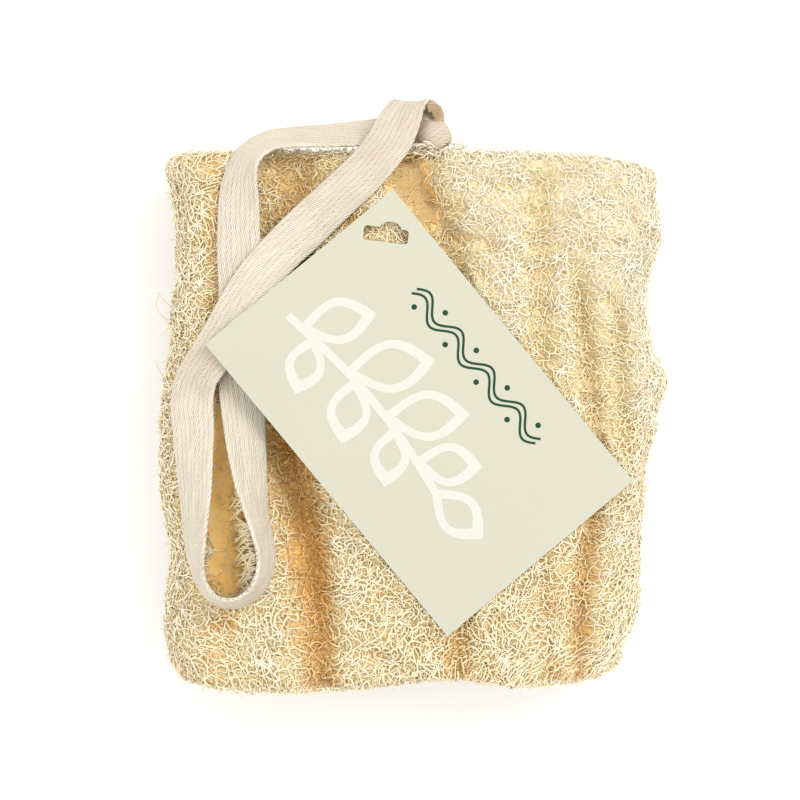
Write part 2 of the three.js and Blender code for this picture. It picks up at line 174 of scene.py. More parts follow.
def skin(round_, along):
    # round_ goes once round the section: 0 at the top's middle, 1 at the left side's middle, 2 below, 3
    # on the right. along goes from -1 to 1 between the cut ends, and its last part turns over the rim.
    lap = np.mod(round_, 4)
    upper = (lap < 1) | (lap >= 3)
    across = np.select([lap < 1, lap < 2, lap < 3], [-lap, lap - 2, lap - 2], 4 - lap)
    rimFrom = pad["rimFrom"]
    over = np.clip((np.abs(along) - rimFrom) / (1 - rimFrom), 0, 1) * np.pi / 2
    straight = np.minimum(np.abs(along) / rimFrom, 1) * np.sign(along)
    radius = pad["rimRadius"]
    inset, back = radius * (1 - np.cos(over)), radius * (1 - np.sin(over))
    reach = reachAt(across, straight * pad["halfLength"]) - inset
    beyond = np.maximum(0, np.abs(across) - pad["flatShare"]) / (1 - pad["flatShare"])
    angle = beyond * np.pi / 2
    power = 2 / pad["sideFullness"]
    flat = (reach - pad["sideRadius"]) * np.minimum(np.abs(across) / pad["flatShare"], 1)
    x = np.sign(across) * (flat + pad["sideRadius"] * np.sin(angle) ** power)
    end = endAt(along, x)
    y = straight * (end - radius) + np.sign(along) * (radius - back) * (over > 0)
    half = np.where(upper, upperHalf(x, y), lowerHalf(x, y)) - inset
    z = middleHeight + np.where(upper, 1, -1) * half * np.maximum(np.cos(angle), 0) ** power
    return np.stack([x, y, z], -1)


def lumps(points, seed, size, height):
    # Soft bumps: the mean of a dozen sines with random directions, whose wavelengths are near size.
    rng = np.random.default_rng(seed)
    waves = rng.normal(size=(12, 3))
    waves *= (2 * np.pi / (size * rng.uniform(0.7, 1.6, 12)) / np.linalg.norm(waves, axis=1))[:, None]
    phase = rng.uniform(0, 2 * np.pi, 12)
    return height * np.sin(points @ waves.T + phase).sum(-1) / 3.5


# Wider golden places: x, y, half the width and half the length in mm, and the most gold. All but the
# low middle one are mostly painted shade: in the hollow by the tape's top, beside the tape and along the
# tag's edges.
goldAndShadePlaces = [(-27, 55, 10, 11, 0.8), (-45, 38, 2.6, 15, 0.5), (-14, 45, 6, 5, 0.75), (-31, -14, 6, 9, 0.6),
                (4, -46, 20, 16, 0.14)]


def valleyGoldAndShade(points):
    # How golden a place is, from 0 on the ribs to 1 in the deepest fold or in the middle of a golden place.
    # The gold is partly the fibre's own deeper colour and partly painted shade in the folds, beside the tape
    # and by the tag's edges.
    depth = valleyDepth(upperValleys, points[..., 0], points[..., 1], valleyGoldShadeWeights, 0.85)
    above = np.clip((points[..., 2] - middleHeight) / 3, 0, 1)
    within = np.clip((endAt(points[..., 1], points[..., 0]) - np.abs(points[..., 1])) / 0.7, 0.3, 1)
    gold = np.clip(depth / 8.5, 0, 1) ** 0.85
    for x, y, wide, long_, most in goldAndShadePlaces:
        bell = np.exp(-((points[..., 0] - x) / wide) ** 2 - ((points[..., 1] - y) / long_) ** 2)
        gold = np.maximum(gold, most * bell)
    return gold * above * within


def tagLift(points):
    # How far the upper skin rises towards the tag's underside: by its gap less the clearance, falling to
    # nothing over the reach outside the tag's edges and in the golden valleys.
    u, v = tagOwn(points[..., 0], points[..., 1])
    out = np.maximum(np.abs(u) - tagSettings["length"] / 2, np.abs(v) - tagSettings["width"] / 2)
    near = np.clip(1 - out / tagSettings["liftReach"], 0, 1)
    gap = tagPlace(u, v, -tagSettings["thickness"] / 2 - tagSettings["liftClear"])[..., 2] - points[..., 2]
    risen = np.clip(gap, 0, tagSettings["mostLift"]) * near * near * (3 - 2 * near)
    return risen * (1 - valleyGoldAndShade(points)) * (points[..., 2] > middleHeight + 4)


def skinAt(round_, along, depth):
    # The skin moved inwards by depth: square to the section's outline, and near the cut ends along Y as
    # well. Soft lumps and small pits are added, less in the smooth valleys, and the sides and ends stand
    # out a little. Returns the places and how deep the pits are.
    step = 0.01
    middle = skin(round_, along)
    d = skin(round_ + step, along) - skin(round_ - step, along)
    size = np.maximum(np.hypot(d[..., 0], d[..., 2]), 1e-9)
    rough = 1 - 0.85 * valleyGoldAndShade(middle)
    pit = np.maximum(0, -lumps(middle, 9, 6.5, 0.7)) + 0.25 * np.maximum(0, lumps(middle, 31, 3.2, 0.6))
    pit = pit * rough
    inwards = depth + pit * 0.8 - lumps(middle, 5, 12, 0.3) * rough - pad["stand"] * np.abs(d[..., 2]) / size
    placed = middle.copy()
    placed[..., 0] += d[..., 2] / size * -inwards
    placed[..., 2] -= d[..., 0] / size * -inwards
    placed[..., 1] -= np.sign(along) * np.abs(along) ** 10 * (depth + 0.4 * pit - pad["stand"])
    placed[..., 2] = np.maximum(placed[..., 2] + tagLift(middle), pad["offFloor"] + 0.1 * depth)
    return placed, pit


def makeMesh(name, points, faces, smooth=True):
    # points is (n, 3) in mm, faces is (m, k) with the same number of corners k for every face.
    mesh = bpy.data.meshes.new(name)
    count, corners = faces.shape
    mesh.vertices.add(len(points))
    mesh.vertices.foreach_set("co", (points * mm).astype(np.float32).ravel())
    mesh.loops.add(faces.size)
    mesh.loops.foreach_set("vertex_index", faces.astype(np.int32).ravel())
    mesh.polygons.add(count)
    mesh.polygons.foreach_set("loop_start", np.arange(0, faces.size, corners, dtype=np.int32))
    mesh.polygons.foreach_set("use_smooth", np.full(count, smooth))
    mesh.update(calc_edges=True)
    mesh.validate()
    piece = bpy.data.objects.new(name, mesh)
    scene.collection.objects.link(piece)
    return piece


def setAttribute(piece, name, values):
    layer = piece.data.attributes.new(name, "FLOAT", "POINT")
    layer.data.foreach_set("value", values.astype(np.float32).ravel())


tubeSides = 3


def strandTubes(paths, radius, sides=tubeSides):
    # Tubes round many paths at once. paths is (n, k, 3) and radius (n, k): rings of a few sides stand
    # square to each path, side and over being made from the path's direction and a fixed slanted line.
    n, k, _ = paths.shape
    way = np.gradient(paths, axis=1)
    way /= np.maximum(np.linalg.norm(way, axis=2, keepdims=True), 1e-9)
    side = np.cross(way, np.array([0.31, 0.17, 0.93]))
    side /= np.maximum(np.linalg.norm(side, axis=2, keepdims=True), 1e-9)
    over = np.cross(way, side)
    turn = np.arange(sides) * 2 * np.pi / sides
    ring = side[:, :, None] * np.cos(turn)[:, None] + over[:, :, None] * np.sin(turn)[:, None]
    points = paths[:, :, None] + ring * radius[:, :, None, None]
    index = np.arange(n * k * sides).reshape(n, k, sides)
    a, b = index[:, :-1], index[:, 1:]
    a2, b2 = np.roll(a, -1, 2), np.roll(b, -1, 2)
    walls = np.stack([a, a2, b, b, a2, b2], -1).reshape(-1, 3)
    first, last = index[:, 0], index[:, -1]
    caps = [np.stack([first[:, 0], first[:, i + 1], first[:, i]], -1) for i in range(1, sides - 1)]
    caps += [np.stack([last[:, 0], last[:, i], last[:, i + 1]], -1) for i in range(1, sides - 1)]
    return points.reshape(-1, 3), np.concatenate([walls] + caps)


def honeycomb(width, height, cell, jitter, rng, wrap=False):
    # A net of six-sided cells that fills width by height: brick-wall rows of nodes, zigzag links along each
    # row and upright ones between rows at every other node. Each node then moves at random.
    edge = cell / np.sqrt(3)
    columns = 2 * int(round(width / (np.sqrt(3) * edge)))
    rows = int(np.ceil(height / (1.5 * edge))) + 1
    i, j = np.meshgrid(np.arange(columns), np.arange(rows), indexing="ij")
    x = i * width / columns
    y = (j - (rows - 1) / 2) * 1.5 * edge + np.where((i + j) % 2 == 0, 0.25, -0.25) * edge
    angle, far = rng.uniform(0, 2 * np.pi, x.shape), jitter * edge * np.sqrt(rng.random(x.shape))
    nodes = np.stack([x + far * np.cos(angle), y + far * np.sin(angle)], -1).reshape(-1, 2)
    index = np.arange(columns * rows).reshape(columns, rows)
    rowLinks = np.stack([index, np.roll(index, -1, 0)], -1)
    rowLinks = rowLinks if wrap else rowLinks[:-1]
    upright = np.stack([index[:, :-1], index[:, 1:]], -1)[((i + j) % 2 == 0)[:, :-1]]
    return nodes, np.concatenate([rowLinks.reshape(-1, 2), upright.reshape(-1, 2)])


def softWarp(places, rng, size, far):
    # Moves flat places about by smooth random waves of about that size, up to about that far.
    waves = rng.normal(size=(8, 2))
    waves *= (2 * np.pi / (size * rng.uniform(0.7, 1.5, 8)) / np.linalg.norm(waves, axis=1))[:, None]
    phase = rng.uniform(0, 2 * np.pi, (2, 8))
    moved = [np.sin(places @ waves.T + p).sum(-1) / 2.8 for p in phase]
    return places + far * np.stack(moved, -1)


tapeSettings = {
    "width": 10.0,
    "thickness": 1.15,
    "partThickness": 1.2,  # as in the part, for the height that it rests at
    "gap": 0.6,
    "bridged": 0.45,
    "rings": 330,
    "ridges": 9,  # lengthwise ribs of the weave
    "perRidge": 4,
    "groove": 0.07,
    "weavePitch": 1.5,  # mm along the tape from one slanted yarn to the next
    "ripple": 0.18,
    "intoKnot": 3.8,  # mm that its first end runs on into the knot, gathered to the share below
    "knotRings": 8,
    "gathered": 0.55,
    "turnOver": 9.0,  # mm before the fold over which the width turns to lie along X
    "foldWidth": 0.84,  # of its width that is left at the fold
}
# The tape's middle, as in the part: x, y, tilt, and its height where it is free or lift where it rests.
tapeFree, tapeRests = 0, 1
tapeRoute = [
    (-1.6, 66.8, 44, tapeFree, 24.6), (-9, 65.9, 48, tapeFree, 26), (-18.6, 65.1, 52, tapeFree, 27.8),
    (-27, 64.4, 56, tapeFree, 29.6), (-33.2, 63, 56, tapeFree, 32.2), (-37.4, 59.4, 48, tapeFree, 34.6),
    (-38.8, 54.4, 34, tapeRests, 0.1), (-39.2, 48.8, 18, tapeRests, 0), (-39.2, 40.6, 5, tapeRests, 0),
    (-39, 28.8, 0, tapeRests, 0), (-39.2, 18.6, -2, tapeRests, 0), (-39, 9.2, -4, tapeRests, 0),
    (-38, -1, -18, tapeRests, 0), (-37.2, -8, -34, tapeRests, 0), (-36.4, -14.2, -48, tapeRests, 0),
    (-35.3, -20, -60, tapeRests, 0), (-34, -25, -67, tapeRests, 0), (-32.9, -29.4, -70, tapeRests, 0),
    (-33, -33.6, -72, tapeRests, 0), (-34.8, -37.8, -74, tapeRests, 0), (-39, -40.9, -75, tapeRests, 0),
    (-43.8, -40.8, -74, tapeRests, 0), (-47, -37.6, -73, tapeRests, 0), (-48.4, -33.4, -68, tapeRests, 0),
    (-48.9, -27.4, -57, tapeRests, 0), (-49, -20.4, -44, tapeRests, 0), (-49.2, -12, -31, tapeRests, 0),
    (-49.5, -3.4, -18, tapeRests, 0), (-49.9, 4.2, -14, tapeRests, 0.3), (-48.6, 9.6, -14, tapeRests, 1.5),
    (-45.6, 14.2, -10, tapeRests, 2.2), (-42.3, 19.6, -5, tapeRests, 2.25),
    (-38.9, 25.6, -2, tapeRests, 2.25), (-35, 31.6, 0, tapeRests, 2.25),
    (-30.2, 37.4, 0, tapeRests, 2.25), (-24.2, 43.4, 0, tapeRests, 0.8),
    (-16.8, 50.4, 0, tapeRests, 0.4), (-10, 57, 0, tapeRests, 0.4), (-5.2, 63.2, 0, tapeFree, 32.4),
    (-2.7, 68.2, 0, tapeFree, 31.3), (-1.3, 71.2, 0, tapeFree, 29.7),
]
# Where the upper end turns over its fold and down into the knot: x, y, z.
tapeFold = [
    (-2.7, 68.2, 31.3), (-1.3, 71.2, 29.7), (-0.4, 72.3, 28.3), (0.5, 72.2, 26.8), (1.6, 71.2, 25.6),
    (2.8, 69.6, 25),
]


def centripetal(points, t):
    # A smooth curve through points, evenly timed by station: knots are spaced by the square root of the
    # chord, the ends are mirrored, and each span is the cubic with the slopes that this spacing gives.
    pts = np.asarray(points, float)
    n = len(pts)
    p = np.concatenate([[2 * pts[0] - pts[1]], pts, [2 * pts[-1] - pts[-2]]])
    at = np.clip(t, 0, 1) * (n - 1)
    i = np.minimum(np.floor(at).astype(int), n - 2)
    w = (at - i)[:, None]
    p0, p1, p2, p3 = p[i], p[i + 1], p[i + 2], p[i + 3]
    d0, d1, d2 = [np.sum((b - a) ** 2, 1)[:, None] ** 0.25 for a, b in ((p0, p1), (p1, p2), (p2, p3))]
    m1 = ((p1 - p0) / d0 - (p2 - p0) / (d0 + d1) + (p2 - p1) / d1) * d1
    m2 = ((p2 - p1) / d1 - (p3 - p1) / (d1 + d2) + (p3 - p2) / d2) * d1
    return p1 + m1 * w + (3 * p2 - 3 * p1 - 2 * m1 - m2) * w ** 2 + (2 * p1 - 2 * p2 + m1 + m2) * w ** 3


def unit(vectors):
    return vectors / np.maximum(np.linalg.norm(vectors, axis=-1, keepdims=True), 1e-9)


def lengthsAlong(middle):
    # Length along a line of places, from 0 at the first.
    return np.concatenate([[0], np.cumsum(np.linalg.norm(np.diff(middle, axis=0), axis=1))])


def ringQuads(index):
    # Quads between neighbouring rows of point numbers, each row closing on itself.
    nxt = np.roll(index, -1, 1)
    return np.stack([index[:-1], nxt[:-1], nxt[1:], index[1:]], -1).reshape(-1, 4)


def halved(quads):
    # Each quad as two triangles.
    return np.concatenate([quads[:, [0, 1, 2]], quads[:, [0, 2, 3]]])


def restingHeights(x, y, tilt, lift, way, s):
    # The tape's middle where it rests: over five places across it, its lower face clears the skin, whose
    # valleys it part bridges.
    lean = np.radians(tilt)
    off = np.array([-1, -0.5, 0, 0.5, 1])[:, None] * s["width"] / 2
    out = off * np.cos(lean)
    under = topHeight(x - way[:, 1] * out, y + way[:, 0] * out, [s["bridged"]] * 6) - off * np.sin(lean)
    return under.max(0) + s["partThickness"] / 2 + s["gap"] + lift


def tapeFrames(s):
    # Middle line, direction along and direction across of the tape: side is up times way, and the tilt
    # turns it about the way. Towards the fold its width turns until it lies along X, by a share that is
    # given back too. The first end is drawn out straight into the knot.
    route = np.array(tapeRoute)
    count = len(route)
    stations = np.arange(count) / (count - 1)
    flat = np.column_stack([route[:, 0], route[:, 1], np.zeros(count)])
    way = unit(centripetal(flat, stations + 1e-4) - centripetal(flat, stations - 1e-4))
    heights = restingHeights(route[:, 0], route[:, 1], route[:, 2], route[:, 4], way, s)
    flat[:, 2] = np.where(route[:, 3] == tapeRests, heights, route[:, 4])
    t = np.linspace(0, 1, s["rings"])
    middle = centripetal(flat, t)
    way = unit(centripetal(flat, t + 1e-4) - centripetal(flat, t - 1e-4))
    side = unit(np.cross([0.0, 0.0, 1.0], way))
    lean = np.radians(through(np.column_stack([stations, route[:, 2]]), 1, t))[:, None]
    across = side * np.cos(lean) + np.cross(way, side) * np.sin(lean)
    fold = np.linspace(0.2, 1, 22)[1:]
    more = centripetal(tapeFold, fold)
    moreWay = unit(centripetal(tapeFold, fold + 1e-3) - centripetal(tapeFold, fold - 1e-3))
    middle, way = np.concatenate([middle, more]), np.concatenate([way, moreWay])
    across = np.concatenate([across, np.repeat(across[-1:], len(more), 0)])
    along = lengthsAlong(middle)
    share = np.clip(1 - (along[s["rings"] - 1] - along) / s["turnOver"], 0, 1)[:, None]
    across = across * (1 - share) + np.array([-1.0, 0.0, 0.0]) * share
    across = unit(across - way * (across * way).sum(1, keepdims=True))
    added = s["knotRings"]
    back = np.linspace(s["intoKnot"], 0.4, added)[:, None]
    middle = np.concatenate([middle[0] - way[0] * back, middle])
    way, across = [np.concatenate([np.repeat(rows[:1], added, 0), rows]) for rows in (way, across)]
    return middle, way, across, np.concatenate([np.zeros(added), share[:, 0]])


def ribbon(middle, way, across, halfWidth, s):
    # A woven band: each ring is a flat section with one rounded rib per ridge and thin rounded selvedges.
    # Height over the middle plane is half the thickness times the root of (1 - s ** 10), less the grooves.
    ridges, each = s["ridges"], s["perRidge"]
    share = np.linspace(-1, 1, ridges * each + 1)
    edge = np.sqrt(1 - share ** 10)
    groove = s["groove"] * (1 - np.abs(np.sin(np.pi * ridges * (share + 1) / 2)) ** 0.7) * edge
    top = s["thickness"] / 2 * edge - groove
    m = len(share)
    off = np.concatenate([share, share[-2:0:-1]])
    rise = np.concatenate([top, -top[-2:0:-1]])
    face = np.cross(way, across)
    halfWidth = np.broadcast_to(halfWidth, len(middle))
    points = middle[:, None] + across[:, None] * (off * halfWidth[:, None])[..., None]
    points = points + face[:, None] * rise[:, None]
    along = lengthsAlong(middle)
    ribs = (off + 1) / 2 * ridges
    uv = np.stack(np.broadcast_arrays(ribs[None], along[:, None] / s["weavePitch"]), -1)
    n, c = len(middle), len(off)
    upper = np.arange(m)
    lower = (c - upper) % c
    lower[-1] = m - 1
    start = np.stack([upper[1:], upper[:-1], lower[:-1], lower[1:]], -1)
    last = start[:, ::-1] + (n - 1) * c
    faces = halved(np.concatenate([ringQuads(np.arange(n * c).reshape(n, c)), start, last]))
    sound = (faces[:, 0] != faces[:, 1]) & (faces[:, 1] != faces[:, 2]) & (faces[:, 0] != faces[:, 2])
    return points.reshape(-1, 3), faces[sound], uv.reshape(-1, 2)


def setUv(piece, name, uv):
    loops = np.empty(len(piece.data.loops), np.int32)
    piece.data.loops.foreach_get("vertex_index", loops)
    layer = piece.data.uv_layers.new(name=name)
    layer.data.foreach_set("uv", uv[loops].astype(np.float32).ravel())


def ribbonPiece(name, band):
    points, faces, uv = band
    piece = makeMesh(name, points, faces)
    setUv(piece, "weave", uv)
    print(name, len(faces), "triangles")
    return piece


def makeTape(s):
    # The tape with a slight unevenness: its width and its rise over the middle line change by slow waves.
    middle, way, across, turned = tapeFrames(s)
    along = lengthsAlong(middle)
    uneven = np.sin(along / 4.3) + np.sin(along / 2.6 + 1) + np.sin(along / 7.9 + 2)
    halfWidth = s["width"] / 2 * (1 + 0.012 * uneven) * (1 - (1 - s["foldWidth"]) * turned ** 1.5)
    halfWidth *= 1 - (1 - s["gathered"]) * np.clip(1 - along / (2 * s["intoKnot"]), 0, 1)
    face = np.cross(way, across)
    lifted = middle + face * (s["ripple"] * np.sin(along / 5.2) * np.sin(along / 11.7 + 0.6))[:, None]
    band = ribbon(lifted, way, across, halfWidth, s)
    return ribbonPiece("tapeLoop", band), band[0], middle, along[-1]


tape, tapePoints, tapeMiddle, tapeLength = makeTape(tapeSettings)
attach(tape, "root")
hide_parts("tape_loop")

knotSettings = {
    "ridges": 7,
    "perRidge": 4,
    "groove": 0.15,
    "thickness": 1.15,
    "weavePitch": 1.5,
    "wrap": {"middle": (4.8, 65.1, 24.7), "turn": 36, "reach": 3.7, "rise": 4.0,
             "halfWidth": (2.7, 3.6, 3.4), "from": 210, "to": -70, "rings": 60},
    "fold": [(3.4, 71.2, 28.9), (4.7, 71.4, 28.6), (5.7, 70.5, 27.9), (6.2, 69, 26.9), (6, 67.4, 25.6)],
    "foldHalfWidth": (1.1, 1.7, 1.5),
    "core": {"middle": (3.7, 67.0, 24.3), "size": (3.7, 4.9, 3.7)},
}


def makeKnot(s):
    # The knot: a rounded core, a band of tape drawn tight over it, and a small fold of tape above at the
    # right. The wrap runs most of the way round an ellipse that stands upright in the plane of its turn.
    made = []
    w = s["wrap"]
    turn = np.radians(w["turn"])
    ahead, aside = np.array([np.cos(turn), np.sin(turn), 0]), np.array([-np.sin(turn), np.cos(turn), 0])
    a = np.radians(np.linspace(w["from"], w["to"], w["rings"]))
    middle = np.array(w["middle"]) + np.outer(np.cos(a), ahead) * w["reach"]
    middle[:, 2] += w["rise"] * np.sin(a)
    way = unit(np.gradient(middle, axis=0))
    narrow = np.interp(np.linspace(0, 1, w["rings"]), [0, 0.45, 1], w["halfWidth"])
    band = ribbon(middle, way, np.broadcast_to(aside, middle.shape), narrow, s)
    middle = np.repeat(middle, len(band[0]) // w["rings"], 0)
    off = (band[0] - middle) @ aside
    inwards = unit(np.array(w["middle"]) - middle)
    made.append(ribbonPiece("knotWrap", (band[0] + inwards * (0.1 * off ** 2)[:, None], *band[1:])))
    t = np.linspace(0, 1, 40)
    middle = centripetal(s["fold"], t)
    way = unit(np.gradient(middle, axis=0))
    across = unit(np.cross(way, np.array([0.45, 0.3, 0.85])))
    narrow = np.interp(t, [0, 0.5, 1], s["foldHalfWidth"])
    made.append(ribbonPiece("knotFold", ribbon(middle, way, across, narrow, {**s, "ridges": 3})))
    c = s["core"]
    lon, lat = np.meshgrid(np.arange(40) * np.pi / 20, np.linspace(-0.49, 0.49, 20) * np.pi)
    ball = np.stack([np.cos(lon) * np.cos(lat), np.sin(lon) * np.cos(lat), np.sin(lat)], -1)
    ball *= 1 + 0.05 * np.sin(lon * 5 + lat * 4)[..., None]
    faces = halved(ringQuads(np.arange(lon.size).reshape(lon.shape)))
    fan, top = np.arange(1, lon.shape[1] - 1), lon.size - lon.shape[1]
    lower = np.stack([0 * fan, fan + 1, fan], -1)
    upper = np.stack([0 * fan + top, fan + top, fan + top + 1], -1)
    points = ball.reshape(-1, 3) * c["size"] + c["middle"]
    uv = np.stack([lat * 4, lon * 3], -1).reshape(-1, 2)
    made.append(ribbonPiece("knotCore", (points, np.concatenate([faces, lower, upper]), uv)))
    return made


knotPieces = makeKnot(knotSettings)
for piece in knotPieces:
    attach(piece, "root")
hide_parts("tape_knot")
print("tape made, mm long:", round(tapeLength, 1))

lightSettings = {
    "sky": 1.06,
    "skyColour": (1.0, 0.995, 0.985),
    "lamps": [  # name, place mm, aimed at mm, size mm, watts, colour
        ("keyLamp", (420, 380, 640), (0, 0, 15), 420, 3.9, (1.0, 0.985, 0.96)),
        ("fillLamp", (-460, -200, 620), (0, 0, 15), 600, 1.6, (1.0, 0.99, 0.98)),
    ],
}


def makeLights(s):
    world = bpy.data.worlds.new("softWorld")
    scene.world = world
    world.use_nodes = True
    sky = world.node_tree.nodes["Background"]
    sky.inputs["Color"].default_value = (*s["skyColour"], 1)
    sky.inputs["Strength"].default_value = s["sky"]
    for name, place, aim, size, watts, colour in s["lamps"]:
        data = bpy.data.lights.new(name, "AREA")
        data.shape, data.size, data.energy, data.color = "DISK", size * mm, watts, colour
        lamp = bpy.data.objects.new(name, data)
        lamp.location = Vector(place) * mm
        lamp.rotation_euler = (Vector(aim) - Vector(place)).to_track_quat("-Z", "Y").to_euler()
        scene.collection.objects.link(lamp)


makeLights(lightSettings)
scene.view_settings.view_transform = "Standard"
scene.view_settings.look = "None"


def nodeGroup(name, inputs, outputs):
    group = bpy.data.node_groups.new(name, "ShaderNodeTree")
    for kind, label, value in inputs:
        socket = group.interface.new_socket(label, in_out="INPUT", socket_type=kind)
        socket.default_value = value
    for kind, label in outputs:
        group.interface.new_socket(label, in_out="OUTPUT", socket_type=kind)
    return group, group.nodes.new("NodeGroupInput"), group.nodes.new("NodeGroupOutput")


def addNode(tree, kind, settings=None, **values):
    node = tree.nodes.new(kind)
    for name, value in (settings or {}).items():
        setattr(node, name, value)
    for name, value in values.items():
        node.inputs[name].default_value = value
    return node


def feed(tree, socket, value):
    # Links another node's output to a socket, or sets the socket to a number or a colour.
    if isinstance(value, bpy.types.NodeSocket):
        tree.links.new(value, socket)
    else:
        socket.default_value = (*value, 1) if isinstance(value, tuple) else value


def mathNode(tree, operation, *values, clamp=False):
    node = addNode(tree, "ShaderNodeMath", {"operation": operation, "use_clamp": clamp})
    for socket, value in zip(node.inputs, values):
        feed(tree, socket, value)
    return node.outputs[0]


def mixColours(tree, first, second, share, blend="MIX"):
    node = addNode(tree, "ShaderNodeMix", {"data_type": "RGBA", "blend_type": blend})
    for label, value in (("A", first), ("B", second), ("Factor", share)):
        feed(tree, node.inputs[label], value)
    return node.outputs["Result"]


def addBump(tree, shader, height, distance, strength):
    bump = addNode(tree, "ShaderNodeBump", Distance=distance, Strength=strength)
    tree.links.new(height, bump.inputs["Height"])
    tree.links.new(bump.outputs["Normal"], shader.inputs["Normal"])


def buildSpeckGroup():
    # Uneven tone: coarse and fine noise on the piece's own places, as one value from 0 to 1.
    group, start, end = nodeGroup("unevenTone", [
        ("NodeSocketFloat", "Coarse Scale", 60.0), ("NodeSocketFloat", "Fine Scale", 900.0),
        ("NodeSocketFloat", "Fine Share", 0.4)], [("NodeSocketFloat", "Tone")])
    place = addNode(group, "ShaderNodeTexCoord").outputs["Object"]
    mix = addNode(group, "ShaderNodeMix", {"data_type": "FLOAT"})
    feed(group, mix.inputs[0], start.outputs["Fine Share"])
    for k, (label, detail, roughness) in enumerate((("Coarse Scale", 3.0, 0.55), ("Fine Scale", 2.0, 0.6))):
        noise = addNode(group, "ShaderNodeTexNoise", Detail=detail, Roughness=roughness)
        feed(group, noise.inputs["Vector"], place)
        feed(group, noise.inputs["Scale"], start.outputs[label])
        feed(group, mix.inputs[2 + k], noise.outputs["Fac"])
    feed(group, end.inputs["Tone"], mix.outputs[0])
    return group


unevenTone = buildSpeckGroup()


def newMaterial(name, s):
    # A material with the uneven tone in it, which also sets how rough it is between two values.
    material = bpy.data.materials.new(name)
    material.use_nodes = True
    tree = material.node_tree
    shader = tree.nodes["Principled BSDF"]
    uneven = addNode(tree, "ShaderNodeGroup", {"node_tree": unevenTone}, **{
        "Coarse Scale": s["patchScale"], "Fine Scale": s["speckScale"], "Fine Share": s["fineShare"]})
    tone = uneven.outputs["Tone"]
    low, high = s["roughness"]
    rough = addNode(tree, "ShaderNodeMapRange", **{"To Min": low, "To Max": high})
    feed(tree, rough.inputs["Value"], tone)
    feed(tree, shader.inputs["Roughness"], rough.outputs["Result"])
    shader.inputs["Specular IOR Level"].default_value = s["shine"]
    return material, tree, shader, tone


def makeFibreFinish(name, s):
    # Dry plant fibre: the tone attribute runs from pale strands to deep golden ones, with uneven patches.
    material, tree, shader, uneven = newMaterial(name, s)
    tone = addNode(tree, "ShaderNodeAttribute", {"attribute_name": "tone"})
    spread = mathNode(tree, "MULTIPLY_ADD", uneven, s["patchShare"], -s["patchShare"] / 2)
    ramp = addNode(tree, "ShaderNodeValToRGB")
    feed(tree, ramp.inputs["Fac"], mathNode(tree, "ADD", spread, tone.outputs["Fac"], clamp=True))
    feed(tree, shader.inputs["Base Color"], ramp.outputs["Color"])
    stops = s["colours"]
    while len(ramp.color_ramp.elements) < len(stops):
        ramp.color_ramp.elements.new(0.5)
    for element, (position, colour) in zip(ramp.color_ramp.elements, stops):
        element.position, element.color = position, (*colour, 1)
    shader.inputs["Subsurface Weight"].default_value = s["glow"]
    shader.inputs["Subsurface Radius"].default_value = s["glowRadius"]
    shader.inputs["Subsurface Scale"].default_value = s["glowScale"]
    addBump(tree, shader, uneven, s["grain"], strength=0.8)
    return material


fibreFinish = {
    "patchScale": 55.0,
    "speckScale": 1400.0,
    "fineShare": 0.35,
    "patchShare": 0.24,
    "roughness": (0.62, 0.9),
    "shine": 0.25,
    "colours": [  # tone, linear colour
        (0.0, (0.93, 0.87, 0.72)),
        (0.1, (0.90, 0.81, 0.59)),
        (0.28, (0.95, 0.84, 0.575)),
        (0.5, (0.88, 0.66, 0.335)),
        (0.75, (0.85, 0.54, 0.19)),
        (1.0, (0.7, 0.41, 0.1)),
    ],
    "glow": 0.0,
    "glowRadius": (1.0, 0.6, 0.25),
    "glowScale": 0.0015,
    "grain": 0.00003,
}
fibreMaterial = makeFibreFinish("loofahFibre", fibreFinish)
bedFinish = {
    **fibreFinish,
    "patchShare": 0.45,
    "speckScale": 1100.0,
    "fineShare": 0.72,
    "colours": [
        (0.0, (0.97, 0.86, 0.62)),
        (0.25, (0.95, 0.86, 0.62)),
        (0.4, (0.86, 0.75, 0.46)),
        (0.5, (0.88, 0.675, 0.33)),
        (0.62, (0.99, 0.63, 0.205)),
        (0.8, (0.575, 0.415, 0.21)),
        (1.0, (0.6, 0.36, 0.12)),
    ],
    "glow": 0.25,
    "grain": 0.0005,
}
bedMaterial = makeFibreFinish("loofahBed", bedFinish)


